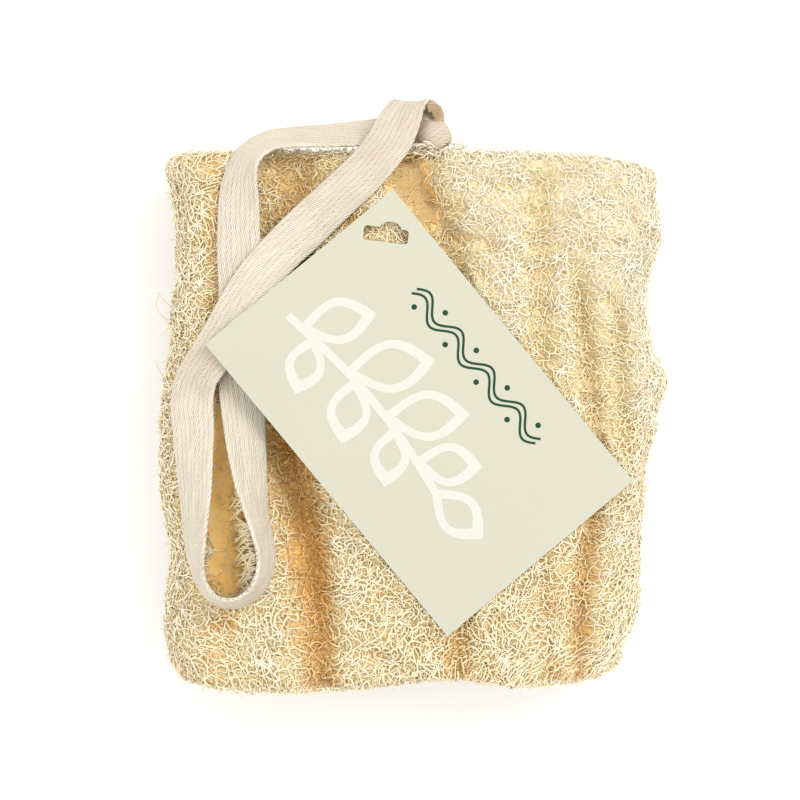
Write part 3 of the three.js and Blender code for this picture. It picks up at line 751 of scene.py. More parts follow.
def buildWovenGroup():
    # Woven tape from the weave map: U counts ribs, V counts yarns. Each rib is a cord whose yarns all
    # slant one way, each rib with its own start and a slow drift. Height is the rib's arch times the
    # yarn's arch, Gap is high where two yarns meet in a groove and sets the painted shade in the gaps and,
    # varying slowly, in the grooves between ribs, and Yarn is a value of each yarn's own.
    group, start, end = nodeGroup("wovenTape", [
        ("NodeSocketVector", "Map", (0.0, 0.0, 0.0)), ("NodeSocketFloat", "Slant", 0.75)],
        [("NodeSocketFloat", "Height"), ("NodeSocketFloat", "Gap"), ("NodeSocketFloat", "Yarn")])
    link = group.links.new

    def math(operation, *values, clamp=False):
        return mathNode(group, operation, *values, clamp=clamp)

    split = addNode(group, "ShaderNodeSeparateXYZ")
    link(start.outputs["Map"], split.inputs[0])
    drift = addNode(group, "ShaderNodeTexNoise", Scale=0.35, Detail=2.0)
    link(start.outputs["Map"], drift.inputs["Vector"])
    swerve = addNode(group, "ShaderNodeTexNoise", Scale=0.22, Detail=1.0)
    link(start.outputs["Map"], swerve.inputs["Vector"])
    across = math("ADD", split.outputs["X"], math("MULTIPLY_ADD", swerve.outputs["Fac"], 0.9, -0.45))
    rib, place = math("FLOOR", across), math("FRACT", across)
    ribStart = addNode(group, "ShaderNodeTexWhiteNoise", {"noise_dimensions": "1D"})
    link(rib, ribStart.inputs["W"])
    shifted = math("MULTIPLY_ADD", place, start.outputs["Slant"], split.outputs["Y"])
    shifted = math("ADD", shifted, ribStart.outputs["Value"])
    yarnPlace = math("MULTIPLY_ADD", drift.outputs["Fac"], 1.6, shifted)
    along = math("FRACT", yarnPlace)
    ribArch = math("SINE", math("MULTIPLY", place, np.pi))
    yarnArch = math("SINE", math("MULTIPLY", along, np.pi))
    yarnHeight = math("MULTIPLY_ADD", math("POWER", yarnArch, 0.6), 0.6, 0.2)
    ribHeight = math("MULTIPLY_ADD", math("POWER", ribArch, 0.5), 0.6, 0.4)
    link(math("MULTIPLY", ribHeight, yarnHeight), end.inputs["Height"])
    ribGap, yarnGap = math("SUBTRACT", 1.0, ribArch), math("SUBTRACT", 1.0, yarnArch)
    tick = math("MULTIPLY", math("POWER", yarnGap, 2.4), math("MULTIPLY_ADD", ribGap, 0.6, 0.5))
    noise = addNode(group, "ShaderNodeTexWhiteNoise", {"noise_dimensions": "2D"})
    cell = addNode(group, "ShaderNodeCombineXYZ")
    link(rib, cell.inputs[0])
    link(math("FLOOR", yarnPlace), cell.inputs[1])
    link(cell.outputs[0], noise.inputs["Vector"])
    deep = math("MULTIPLY_ADD", noise.outputs["Value"], 1.3, 0.05)
    grooveShadeAmount = math("MULTIPLY_ADD", drift.outputs["Fac"], 1.3, -0.3)
    groove = math("MULTIPLY", math("POWER", ribGap, 5.0), grooveShadeAmount)
    link(math("MULTIPLY_ADD", tick, deep, groove, clamp=True), end.inputs["Gap"])
    link(noise.outputs["Value"], end.inputs["Yarn"])
    return group


wovenTape = buildWovenGroup()


def makeCottonFinish(name, s):
    # Unbleached cotton: cream yarns that differ a little, painted shade in the gaps between them, and a bump
    # of the weave. Painted shade from an attribute browns it where it lies deep in the knot, under the card
    # and in folds.
    material, tree, shader, uneven = newMaterial(name, s)
    weave = addNode(tree, "ShaderNodeGroup", {"node_tree": wovenTape}, Slant=s["slant"])
    feed(tree, weave.inputs["Map"], addNode(tree, "ShaderNodeUVMap", {"uv_map": "weave"}).outputs["UV"])
    paintedShade = addNode(tree, "ShaderNodeAttribute", {"attribute_name": "paintedShade"})
    yarn = mathNode(tree, "MULTIPLY_ADD", weave.outputs["Yarn"], s["yarnShare"], uneven)
    gaps = mathNode(tree, "MULTIPLY", weave.outputs["Gap"], s["gapShare"])
    colour = mixColours(tree, mixColours(tree, s["light"], s["warm"], yarn), s["gap"], gaps)
    colour = mixColours(tree, colour, s["paintedShade"], paintedShade.outputs["Fac"], "MULTIPLY")
    feed(tree, shader.inputs["Base Color"], colour)
    height = mathNode(tree, "MULTIPLY_ADD", uneven, s["fibreShare"], weave.outputs["Height"])
    addBump(tree, shader, height, s["relief"], s["reliefShare"])
    return material


cottonFinish = {
    "slant": 2.4,
    "patchScale": 90.0,
    "speckScale": 2600.0,
    "fineShare": 0.5,
    "yarnShare": 0.35,
    "fibreShare": 0.25,  # of the uneven tone in the bump's height
    "light": (0.755, 0.70, 0.595),
    "warm": (0.69, 0.62, 0.505),
    # gap is the colour of the painted shade between yarns and in the rib grooves, gapShare how strong it is
    "gap": (0.37, 0.29, 0.21),
    "gapShare": 1.0,
    # the colour that multiplies in as painted shade, deep in the knot, under the card and in folds
    "paintedShade": (0.52, 0.36, 0.19),
    "roughness": (0.75, 0.95),
    "relief": 0.0004,
    "reliefShare": 0.8,
    "shine": 0.15,
}
cottonMaterial = makeCottonFinish("cottonTape", cottonFinish)


def setPaintedShade(piece, spots):
    # How much painted shade browns each place: the highest of one soft bell for each spot's place, reach and
    # amount.
    points = np.empty(len(piece.data.vertices) * 3)
    piece.data.vertices.foreach_get("co", points)
    points = points.reshape(-1, 3) / mm
    bells = [most * np.exp(-(np.linalg.norm(points - np.array(at), axis=1) / reach) ** 2)
             for at, reach, most in spots]
    setAttribute(piece, "paintedShade", np.max(bells, 0))


# Painted shade on the tape and the knot, where they lie under the card, in folds and deep in the knot: a
# place, a reach and an amount for each spot.
shadeSpots = {
    "tapeLoop": [((-46.5, 12, 30), 5.5, 0.45), ((-25, 64, 28), 5, 0.15), ((-12, 56, 32), 16, 0.15),
                 ((0, 68, 31), 12, 0.17)],
    "knotWrap": [((0.9, 63.6, 26), 3.4, 0.7), ((2.5, 67.6, 28), 2.2, 0.5), ((6, 65, 26), 8, 0.26)],
    "knotFold": [((4.8, 70.4, 28), 3.5, 0.95)],
    "knotCore": [((3, 65, 26), 6, 0.6)],
}
for piece in [tape, *knotPieces]:
    piece.data.materials.append(cottonMaterial)
    setPaintedShade(piece, shadeSpots[piece.name])

tagSettings = {
    "length": 85.5,
    "width": 54.8,
    "thickness": 0.5,
    "place": (1.8, 1.65, 34.2),
    "turn": -50.4,
    "lean": 2.1,
    "roll": -2.52,
    "curl": 0.5,
    "grid": 2.0,
    "liftReach": 4.5,  # mm outside its edges over which the fibres rise to meet it
    "liftClear": 0.45,
    "mostLift": 3.0,
    "slotClear": 8.0,  # mm round the slot where the strands are kept
    "slot": {"middle": (-5.9, 41.8), "turn": -6.8, "length": 10.2, "height": 3.3, "corner": 0.7,
             "notchOffset": 0.95, "notchWidth": 5.0, "notchRise": 1.5},
}


def tagPlace(u, v, h):
    # A place on the tag from its own lengths: u along it, v across it, h over its middle plane. Both
    # short ends curl up a little, by the fourth power of u. The tag is rolled, then leant, then turned.
    s = tagSettings
    roll, lean, turn = np.radians([s["roll"], s["lean"], s["turn"]])
    h = h + s["curl"] * (u / s["length"] * 2) ** 4
    y, z = v * np.cos(roll) - h * np.sin(roll), v * np.sin(roll) + h * np.cos(roll)
    x, z = u * np.cos(lean) + z * np.sin(lean), z * np.cos(lean) - u * np.sin(lean)
    x, y = x * np.cos(turn) - y * np.sin(turn), x * np.sin(turn) + y * np.cos(turn)
    return np.stack([x, y, z], -1) + np.array(s["place"])


def tagOwn(x, y):
    # The tag's own lengths u and v for a place in plan.
    t = np.radians(tagSettings["turn"])
    dx, dy = x - tagSettings["place"][0], y - tagSettings["place"][1]
    return dx * np.cos(t) + dy * np.sin(t), dy * np.cos(t) - dx * np.sin(t)


def slotOutline(s):
    # The hanging slot: a bar with rounded corners and a round notch in its upper side, in plan.
    l, h, r = s["length"] / 2 - s["corner"], s["height"] / 2 - s["corner"], s["corner"]
    notch = ((s["notchWidth"] / 2) ** 2 + s["notchRise"] ** 2) / (2 * s["notchRise"])
    start = np.degrees(np.arcsin((notch - s["notchRise"]) / notch))
    notchLevel = s["height"] / 2 + s["notchRise"] - notch
    rows = [(l, h, r, 0, 90, 3), (s["notchOffset"], notchLevel, notch, start, 180 - start, 9),
            (-l, h, r, 90, 180, 3), (-l, -h, r, 180, 270, 3), (l, -h, r, 270, 360, 3)]
    angles = [np.radians(np.linspace(a, b, n)) for _, _, _, a, b, n in rows]
    arcs = [np.stack([x + radius * np.cos(a), y + radius * np.sin(a)], -1)
            for (x, y, radius, _, _, _), a in zip(rows, angles)]
    points, turn = np.concatenate(arcs), np.radians(s["turn"])
    x = points[:, 0] * np.cos(turn) - points[:, 1] * np.sin(turn) + s["middle"][0]
    y = points[:, 0] * np.sin(turn) + points[:, 1] * np.cos(turn) + s["middle"][1]
    return np.stack(tagOwn(x, y), -1)


def insideLoop(points, loop):
    # Even-odd test of points against a closed loop: counts the loop's sides that a line towards +X crosses.
    a, b = loop, np.roll(loop, -1, 0)
    px, py = points[:, None, 0], points[:, None, 1]
    crosses = (a[:, 1] > py) != (b[:, 1] > py)
    at = a[:, 0] + (py - a[:, 1]) * (b[:, 0] - a[:, 0]) / np.where(a[:, 1] == b[:, 1], 1, b[:, 1] - a[:, 1])
    return (crosses & (px < at)).sum(1) % 2 == 1


def makeTag(s):
    # The card: its outline and slot joined to a grid by triangles, as two faces and the walls between them.
    l, w, step = s["length"] / 2, s["width"] / 2, s["grid"]
    along, across = np.linspace(-l, l, int(2 * l / step)), np.linspace(-w, w, int(2 * w / step))
    longSide, shortSide = np.full(len(along) - 1, w), np.full(len(across) - 1, l)
    outline = np.concatenate([
        np.column_stack([along[:-1], -longSide]), np.column_stack([shortSide, across[:-1]]),
        np.column_stack([along[:0:-1], longSide]), np.column_stack([-shortSide, across[:0:-1]])])
    slot = slotOutline(s["slot"])
    grid = np.stack(np.meshgrid(along[1:-1], across[1:-1]), -1).reshape(-1, 2)
    away = np.linalg.norm(grid[:, None] - slot[None], axis=2).min(1)
    grid = grid[(away > 0.6 * step) & ~insideLoop(grid, slot)]
    flat = np.concatenate([outline, slot, grid])
    n, m = len(outline), len(slot)
    ring = [(i, (i + 1) % n) for i in range(n)] + [(n + i, n + (i + 1) % m) for i in range(m)]
    found = delaunay_2d_cdt([Vector(p) for p in flat], ring, [], 0, 1e-6)
    flat, faces = np.array([tuple(p) for p in found[0]]), np.array(found[2])
    faces = faces[~insideLoop(flat[faces].mean(1), slot)]
    a, b, c = flat[faces[:, 0]], flat[faces[:, 1]], flat[faces[:, 2]]
    area = (b[:, 0] - a[:, 0]) * (c[:, 1] - a[:, 1]) - (b[:, 1] - a[:, 1]) * (c[:, 0] - a[:, 0])
    faces = np.where((area < 0)[:, None], faces[:, ::-1], faces)[np.abs(area) > 1e-9]
    count, half = len(flat), s["thickness"] / 2
    sides = np.concatenate([faces[:, [0, 1]], faces[:, [1, 2]], faces[:, [2, 0]]])
    keys = {tuple(side) for side in sides.tolist()}
    rim = np.array([side for side in sides.tolist() if (side[1], side[0]) not in keys])
    walls = np.concatenate([np.column_stack([rim[:, 0], rim[:, 0] + count, rim[:, 1] + count]),
                            np.column_stack([rim[:, 0], rim[:, 1] + count, rim[:, 1]])])
    points = np.concatenate([tagPlace(flat[:, 0], flat[:, 1], half), tagPlace(flat[:, 0], flat[:, 1], -half)])
    piece = makeMesh("swingTag", points, np.concatenate([faces, faces[:, ::-1] + count, walls]), smooth=False)
    index = np.zeros(len(piece.data.polygons), np.int32)
    index[2 * len(faces):] = 1
    piece.data.polygons.foreach_set("material_index", index)
    return piece


def printBand(path, width, rise, closed):
    # A flat printed line on the tag, with its middle on a path in the tag's own lengths.
    if closed:
        way = unit(np.roll(path, -1, 0) - np.roll(path, 1, 0))
    else:
        way = unit(np.gradient(path, axis=0))
    out = np.stack([way[:, 1], -way[:, 0]], -1) * width / 2
    return printSlab(path + out, path - out, rise, closed)


def printSlab(right, left, rise, closed):
    # A thin slab on the tag between two lines in the tag's own lengths.
    corners = [(right, -0.02), (right, rise), (left, rise), (left, -0.02)]
    top = tagSettings["thickness"] / 2
    points = np.stack([tagPlace(p[:, 0], p[:, 1], top + h) for p, h in corners], 1)
    n = len(right)
    index = np.arange(n * 4).reshape(n, 4)
    here, there = (index, np.roll(index, -1, 0)) if closed else (index[:-1], index[1:])
    quads = np.stack([here, np.roll(here, -1, 1), np.roll(there, -1, 1), there], -1).reshape(-1, 4)
    if not closed:
        quads = np.concatenate([quads, index[:1, ::-1], index[-1:]])
    return points.reshape(-1, 3), quads


def joinBands(name, bands):
    counts = np.cumsum([0] + [len(points) for points, _ in bands])
    faces = np.concatenate([quads + base for (_, quads), base in zip(bands, counts)])
    return makeMesh(name, np.concatenate([points for points, _ in bands]), faces, smooth=False)


def makePrint(s):
    # A sprig in off-white lines, and a rule of two dark waves with a dot in each of their bays. Both are
    # plain patterns. A leaf is as wide as a sine of its length, so both ends are sharp, between a larger
    # and a smaller copy of its outline. The sprig's lines overlap, so each has its own rise.
    bands = []
    u = np.linspace(*s["stem"], 60)
    v = s["stemLevel"] + s["stemSwing"] * np.sin((u - s["stem"][0]) / s["stemBend"])
    stem = np.stack([u, v], -1)
    bands.append(printBand(stem, s["line"], 1.5 * s["rise"], False))
    t = np.linspace(0, 2 * np.pi, 48, endpoint=False)
    for k, (at, angle, long_, wide) in enumerate(s["leaves"]):
        foot = stem[int(at * 59)]
        a = np.radians(angle)
        turned = np.array([[np.cos(a), np.sin(a)], [-np.sin(a), np.cos(a)]])
        wideAt = np.sin(np.pi / 2 * (1 - np.cos(t))) * np.sign(np.sin(t)) * (1 - 0.2 * np.cos(t))
        leaf = np.stack([-np.cos(t), wideAt], -1)
        half, line = np.array([long_, wide]) / 2, np.array([0.9, 0.5]) * s["line"]
        outer, inner = [foot + (leaf * (half + side * line) + (half[0] + s["footGap"], 0)) @ turned
                        for side in (1, -1)]
        bands.append(printSlab(outer, inner, s["rise"] * (1 + 0.04 * k), True))
    w = s["wave"]
    u = np.linspace(*w["from"], 160)
    swing = w["swing"] * np.sin((u - u[0]) * 2 * np.pi / w["length"])
    lines = [np.stack([u, w["level"] + side * w["apart"] / 2 + swing], -1) for side in (-1, 1)]
    rules = [printBand(line, w["line"], s["rise"], False) for line in lines]
    for k in range(w["dots"]):
        side = 1 if k % 2 else -1
        dot = np.array([w["from"][0] + (k + 0.5) * w["length"] / 2, w["level"] + w["dotOff"] * side])
        ring = dot + w["dotSize"] / 4 * np.stack([np.cos(t[::4]), np.sin(t[::4])], -1)
        rules.append(printBand(ring, w["dotSize"] / 2, s["rise"], True))
    return joinBands("printedSprig", bands), joinBands("printedRow", rules)


printSettings = {
    "line": 1.9,
    "rise": 0.035,
    "stem": (-36, 16),
    "stemLevel": -9,
    "stemSwing": 2.5,
    "stemBend": 17.0,
    "footGap": 0.4,
    # share along the stem, angle, length, width
    "leaves": [(0.10, 62, 15, 8.5), (0.16, -58, 11, 7), (0.36, 58, 18, 10), (0.42, -52, 12.5, 8),
               (0.62, 52, 17, 9.5), (0.68, -50, 11, 7), (0.86, 46, 13, 8), (1.0, 6, 13, 8)],
    "wave": {"from": (-22, 22), "level": 16.5, "swing": 1.7, "length": 11.0, "apart": 1.5, "line": 0.55,
             "dots": 8, "dotOff": 2.3, "dotSize": 1.3},
}


def makeCardFinish(name, s):
    # Matt card: faint fibre flecks and patches in its colour, and a fine tooth.
    material, tree, shader, uneven = newMaterial(name, {"fineShare": 0.6, "shine": 0.2, **s})
    feed(tree, shader.inputs["Base Color"], mixColours(tree, s["dark"], s["light"], uneven))
    addBump(tree, shader, uneven, distance=0.00004, strength=0.5)
    return material


cardFinishes = {
    "cardFace": {"patchScale": 40.0, "speckScale": 2200.0, "dark": (0.474, 0.467, 0.372),
                 "light": (0.505, 0.498, 0.403), "roughness": (0.55, 0.75)},
    "cardEdge": {"patchScale": 200.0, "speckScale": 5000.0, "dark": (0.76, 0.75, 0.68),
                 "light": (0.86, 0.85, 0.80), "roughness": (0.7, 0.95)},
    "paleInk": {"patchScale": 60.0, "speckScale": 1800.0, "dark": (0.575, 0.57, 0.505),
                "light": (0.61, 0.60, 0.54), "roughness": (0.45, 0.65)},
    "greenInk": {"patchScale": 60.0, "speckScale": 1800.0, "dark": (0.004, 0.035, 0.015),
                 "light": (0.010, 0.060, 0.030), "roughness": (0.4, 0.6)},
}
cardMaterials = {name: makeCardFinish(name, s) for name, s in cardFinishes.items()}
swingTag = makeTag(tagSettings)
swingTag.data.materials.append(cardMaterials["cardFace"])
swingTag.data.materials.append(cardMaterials["cardEdge"])
sprig, row = makePrint(printSettings)
sprig.data.materials.append(cardMaterials["paleInk"])
row.data.materials.append(cardMaterials["greenInk"])
for piece in (swingTag, sprig, row):
    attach(piece, "root")
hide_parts("swing_tag")
print("tag made")

coverSettings = {"cell": 0.5, "span": 75.0, "clear": 0.12, "open": 999.0}  # open: a height where no tape is


def makeCover(s):
    # A map in plan of the tape's lowest height over each cell, to keep the strands below under it.
    count = int(2 * s["span"] / s["cell"])
    cover = np.full((count, count), s["open"])
    ring = 2 * tapeSettings["ridges"] * tapeSettings["perRidge"]
    dense = np.concatenate([tapePoints, (tapePoints[:-ring] + tapePoints[ring:]) / 2])
    i, j = ((dense[:, :2] + s["span"]) / s["cell"]).astype(int).T
    np.minimum.at(cover, (i, j), dense[:, 2])
    return cover


tapeCover = makeCover(coverSettings)


def keepUnder(paths, size):
    # Lowers the upper side's strands where the tape or the tag lies over them.
    s = coverSettings
    cells = ((paths[..., :2] + s["span"]) / s["cell"]).astype(int)
    i, j = np.clip(cells, 0, len(tapeCover) - 1).transpose(2, 0, 1)
    lid = tapeCover[i, j]
    u, v = tagOwn(paths[..., 0], paths[..., 1])
    on = (np.abs(u) < tagSettings["length"] / 2 + 1) & (np.abs(v) < tagSettings["width"] / 2 + 1)
    lid = np.where(on, np.minimum(lid, tagPlace(u, v, -tagSettings["thickness"] / 2)[..., 2]), lid)
    upper = paths[..., 2] > middleHeight
    paths[..., 2] = np.where(upper, np.minimum(paths[..., 2], lid - size - s["clear"]), paths[..., 2])
    return paths


netSettings = {
    "perimeter": 264.0,
    "length": 124.0,
    "seed": 11,
    "overlap": 0.27,
    "jitter": 0.85,  # of a cell's edge, that the net's nodes move by
    "bow": 0.17,
    "sizes": (0.65, 1.35),  # least and most share of a strand's radius
    "curlSpan": 0.29,  # of the perimeter to each side, where the curls lie
    "wobble": 0.22,
    "bareUnderTag": 3.0,  # mm in from the tag's edges, where the strands stop
    "mostTriangles": 180000,  # in one piece
    # Deeper layers get deeper golden tones: partly the fibre's own colour, partly painted shade in the net's
    # holes.
    # name, cell mm, strand radius mm, least and most depth mm, tone, part, share left out, also in
    # valleys, rings
    "layers": [
        ("netBold", 2.2, 0.172, -0.15, 0.2, 0.1, "upper", 0.05, 0.45, 4),
        ("netMiddle", 1.6, 0.13, 0.05, 0.45, 0.17, "upper", 0.08, 0.4, 3),
        ("netFine", 1.2, 0.105, 0.35, 0.7, 0.36, "upper", 0.06, 0.3, 2),
        ("netUnder", 2.2, 0.18, 0.0, 0.5, 0.05, "lower", 0.12, 0.0, 3),
        ("netUnderFine", 2.0, 0.14, 0.5, 1.1, 0.14, "lower", 0.1, 0.0, 2),
    ],
    # name, count, least and most length mm, radius mm, most turn per mm, depth mm, tuck mm, tone, part,
    # rings, share laid across the ribs
    "curls": [
        ("curlsBold", 1280, (3, 8), 0.14, 0.3, -0.12, 1.6, 0.09, "upper", 6, 0.5),
        ("curlsFine", 3480, (2, 5), 0.09, 0.55, 0.0, 1.5, 0.14, "upper", 5, 0.4),
        ("curlsUnder", 2200, (2, 6), 0.15, 0.6, 0.0, 0.9, 0.05, "lower", 5, 0.4),
        ("longStrands", 330, (7, 16), 0.16, 0.16, -0.2, 1.6, 0.06, "upper", 9, 0.8),
    ],
    "bedStrands": {"count": 12000, "length": (0.8, 3.0), "radius": 0.07, "turn": 1.4, "depth": 0.6,
                   "tone": -0.05, "least": 0.35, "noneLeftOf": -30},
    "stars": {"count": 230, "arms": 8, "reach": (1.2, 3.2), "radius": 0.12},
}

# The smooth golden places: x, y, half the width and half the length in mm, and how much gold they add. That
# gold is partly the fibre's own colour and partly painted shade, most in the two hollows by the tag's top
# corner.
bareSpots = [(-42.6, -8, 3.6, 12, 0.12), (-42.4, -22, 4.8, 12, 0.12), (-41.6, -33, 5.6, 6, 0.12),
             (-1, 55, 4.2, 6.5, 0.38), (2.6, 48.6, 3.2, 5, 0.4)]


def underTag(points, inset):
    # True for places of the upper side that lie under the tag, that far in from its edges and off its slot.
    u, v = tagOwn(points[..., 0], points[..., 1])
    inside = (np.abs(u) < tagSettings["length"] / 2 - inset) & (np.abs(v) < tagSettings["width"] / 2 - inset)
    slotX, slotY = tagSettings["slot"]["middle"]
    slot = np.hypot(points[..., 0] - slotX, points[..., 1] - slotY)
    return inside & (slot > tagSettings["slotClear"]) & (points[..., 2] > middleHeight)


def lapOf(flat):
    # The skin's own measures, round_ and along, of flat unrolled places in mm.
    along = np.clip(flat[..., 1] / netSettings["length"] * 2, -1, 1)
    return flat[..., 0] / netSettings["perimeter"] * 4, along


# Strand tone weights: the spread, the gold and painted shade of the valleys and bare places, painted shade in
# the pits, and painted light towards the upper right.
toneSettings = {"spread": 0.05, "valley": 0.55, "bare": 0.4, "pit": 0.06, "pale": 0.17}


def upperRightLight(points):
    # Painted light: the fibres are a little paler towards the upper right corner, where the key lamp stands.
    return toneSettings["pale"] * np.clip((points[..., 0] + points[..., 1] - 10) / 80, 0, 1)


def toneOf(points, tone, pit, rng):
    # Strand tone: the layer's own, a random step for each strand, less towards the upper right as painted
    # light, more in pits as painted shade, and most in the valleys and golden places, where it is partly
    # painted shade.
    s = toneSettings
    own = rng.normal(0, s["spread"], len(points))[:, None] - upperRightLight(points)
    goldAndShade = s["valley"] * valleyGoldAndShade(points) + s["bare"] * bareness(points, goldAndShade=True)
    return np.clip(tone + own + goldAndShade + s["pit"] * pit, 0, 1)


def inPart(u, part):
    # Whether an unrolled place belongs to the upper or the lower side. The upper side's net goes on down
    # the sides by its overlap, and the lower one's starts a little before that.
    lap = np.mod(u / netSettings["perimeter"] * 4, 4)
    over = netSettings["overlap"]
    upper = (lap < 1 + over) | (lap > 3 - over)
    lower = (lap > 0.9 + over) & (lap < 3.1 - over)
    return upper if part == "upper" else lower


def strandPieces(name, paths, size, tone, pit, rng):
    # Tubes round paths that are already in the part's space, split so that no piece has too many triangles.
    paths = keepUnder(paths, size)
    each = (paths.shape[1] - 1) * 2 * tubeSides + 2
    count = 1 + len(paths) * each // netSettings["mostTriangles"]
    made = []
    for part, some in enumerate(np.array_split(np.arange(len(paths)), count)):
        points, faces = strandTubes(paths[some], size[some])
        piece = makeMesh(f"{name}{part + 1}", points, faces)
        shade = toneOf(paths[some], tone, pit[some], rng)
        setAttribute(piece, "tone", np.repeat(shade.reshape(-1), tubeSides))
        piece.data.materials.append(fibreMaterial)
        print(piece.name, len(faces), "triangles")
        made.append(piece)
    return made


def layStrands(name, flat, depth, radius, tone, rng, upper):
    # Lays flat paths (n, k, 2), in unrolled mm, on the skin at their depths, and makes tubes round them.
    placed, pit = skinAt(*lapOf(flat), depth)
    if upper:
        shown = ~underTag(placed, netSettings["bareUnderTag"]).all(1)
        placed, pit, radius = placed[shown], pit[shown], radius[shown]
    return strandPieces(name, placed, radius, tone, pit, rng)


def shadeAt(flat):
    # The share of gold and painted shade at an unrolled place, used to thin the strands out in the valleys.
    return valleyGoldAndShade(skin(*lapOf(flat)))


def bareness(places, goldAndShade=False):
    # 1 inside the smooth golden places, where hardly a strand lies, falling to 0 over their soft edges.
    # Where gold and shade are asked for, each spot counts by its own gold, which is partly painted shade.
    bare = np.zeros(places.shape[:-1])
    for x, y, wide, long_, gold in bareSpots:
        out = np.hypot((places[..., 0] - x) / wide, (places[..., 1] - y) / long_)
        bare = np.maximum(bare, np.clip((1.3 - out) / 0.55, 0, 1) * (gold if goldAndShade else 1))
    return bare * (places[..., 2] > middleHeight)


def bareAt(flat):
    # The share of strands that is left out at unrolled places, because they are bare.
    return 0.97 * bareness(skin(*lapOf(flat)))


def boldness(flat):
    # Strands are bolder low down in the middle and finer towards the upper right, with a slow wave between.
    x, y = skin(*lapOf(flat))[:, :2].T
    low = np.exp(-((x + 2) / 26) ** 2 - ((y + 48) / 22) ** 2)
    wave = 0.08 * np.sin(x / 7) * np.sin(y / 9 + 1)
    return 0.98 + 0.22 * low - 0.22 * np.clip((x + y) / 80, -0.2, 1) + wave


def makeNet(name, cell, radius, nearDepth, farDepth, tone, part, leftOut, thinned, rings, rng):
    # A honeycomb over the unrolled section, warped and jittered. Each link runs just past its nodes, so
    # that the strands join, and one of three or four rings bows sideways and in depth.
    girth, long_ = netSettings["perimeter"], netSettings["length"]
    flat, links = honeycomb(girth, long_, cell, netSettings["jitter"], rng, wrap=True)
    nodeDepth = rng.uniform(nearDepth, farDepth, len(flat))
    a, b = flat[links[:, 0]], flat[links[:, 1]].copy()
    gap = b[:, 0] - a[:, 0]
    b[:, 0] += np.where(gap < -girth / 2, girth, 0) - np.where(gap > girth / 2, girth, 0)
    middle = (a + b) / 2
    keep = rng.random(len(links)) > leftOut + thinned * shadeAt(middle) + bareAt(middle)
    keep &= inPart(middle[:, 0], part) & (np.abs(middle[:, 1]) < long_ / 2)
    a, b, links = a[keep], b[keep], links[keep]
    n = len(a)
    past = rng.uniform(0, 0.08, (n, 2))[:, :, None] * (b - a)[:, None]
    t = np.linspace(0, 1, rings)
    start, end = a - past[:, 0], b + past[:, 1]
    path = start[:, None] + (end - start)[:, None] * t[:, None]
    ends = nodeDepth[links]
    depth = ends[:, :1] + (ends[:, 1:] - ends[:, :1]) * t
    if rings > 2:
        sideways = np.stack([a[:, 1] - b[:, 1], b[:, 0] - a[:, 0]], -1)
        bow = rng.normal(0, netSettings["bow"], n)[:, None] * sideways
        path += bow[:, None] * (4 * t * (1 - t))[:, None]
        depth = depth + rng.normal(-0.05, 0.15, n)[:, None] * (4 * t * (1 - t))
    path = softWarp(path, np.random.default_rng(len(name)), 7 * cell, 0.4 * cell)
    own = rng.uniform(*netSettings["sizes"], n) * boldness(middle[keep])
    size = radius * own[:, None] * (1 + 0.3 * (2 * t - 1) ** 2)
    return layStrands(name, path, depth, size, tone, rng, part == "upper")


def makeCurls(name, count, length, radius, turn, depth, tuck, tone, part, rings, sidewards, rng):
    # Loose strands: each starts anywhere, heads off at random or across the ribs, and turns steadily.
    # Its ends dip inwards by the tuck.
    girth, half = netSettings["perimeter"], netSettings["length"] / 2
    wide = netSettings["curlSpan"] * girth
    u = rng.uniform(-wide, wide, count) + (0 if part == "upper" else girth / 2)
    v = rng.uniform(-half, half, count)
    long_ = length[0] + (length[1] - length[0]) * rng.random(count) ** 1.6
    heading = np.where(rng.random(count) < sidewards, rng.normal(0, 0.5, count), rng.uniform(0, np.pi, count))
    bend = rng.uniform(-turn, turn, count)
    t = np.linspace(0, 1, rings)
    wobble = rng.normal(0, netSettings["wobble"], (count, rings))
    angle = heading[:, None] + bend[:, None] * long_[:, None] * t + wobble
    step = (long_ / (rings - 1))[:, None]
    du, dv = np.cumsum(np.cos(angle) * step, 1), np.cumsum(np.sin(angle) * step, 1)
    flat = np.stack([u[:, None] + du - du[:, 2:3], v[:, None] + dv - dv[:, 2:3]], -1)
    keep = rng.random(count) > 0.6 * shadeAt(flat[:, 2]) + bareAt(flat[:, 2])
    keep &= np.abs(flat[..., 1]).max(1) < half
    dips = depth + rng.uniform(0, 0.4, count)[:, None] + tuck * np.abs(2 * t - 1) ** 3
    size = radius * rng.uniform(*netSettings["sizes"], count)[:, None] * (1 - 0.25 * np.abs(2 * t - 1))
    return layStrands(name, flat[keep], dips[keep], size[keep], tone, rng, part == "upper")


def makeBedStrands(s, rng):
    # Very fine strands just over the smooth floor of the golden places, where the shade is over its
    # least. None lie in the bare places inside the tape's loop.
    wide, half = 0.21 * netSettings["perimeter"], netSettings["length"] / 2 - 2
    middle = np.stack([rng.uniform(-wide, wide, s["count"]), rng.uniform(-half, half, s["count"])], -1)
    places = skin(*lapOf(middle))
    open_ = 1 - bareness(places) * (places[:, 0] < s["noneLeftOf"])
    middle = middle[valleyGoldAndShade(places) * open_ > s["least"]]
    n = len(middle)
    long_ = rng.uniform(*s["length"], (n, 1))
    t = np.linspace(-0.5, 0.5, 4)
    angle = rng.normal(0, 0.8, (n, 1)) + rng.uniform(-s["turn"], s["turn"], (n, 1)) * long_ * t
    along = np.cumsum(np.stack([np.cos(angle), np.sin(angle)], -1) * (long_ / 4)[..., None], 1)
    depth = s["depth"] + rng.uniform(-0.08, 0.06, (n, 1)) + 0.25 * np.abs(2 * t) ** 3
    size = s["radius"] * rng.uniform(0.6, 1.5, (n, 1)) * np.ones(4)
    tone = s["tone"] + rng.normal(0, 0.07)
    flat = middle[:, None] + along - along.mean(1, keepdims=True)
    return layStrands("bedStrands", flat, depth, size, tone, rng, True)


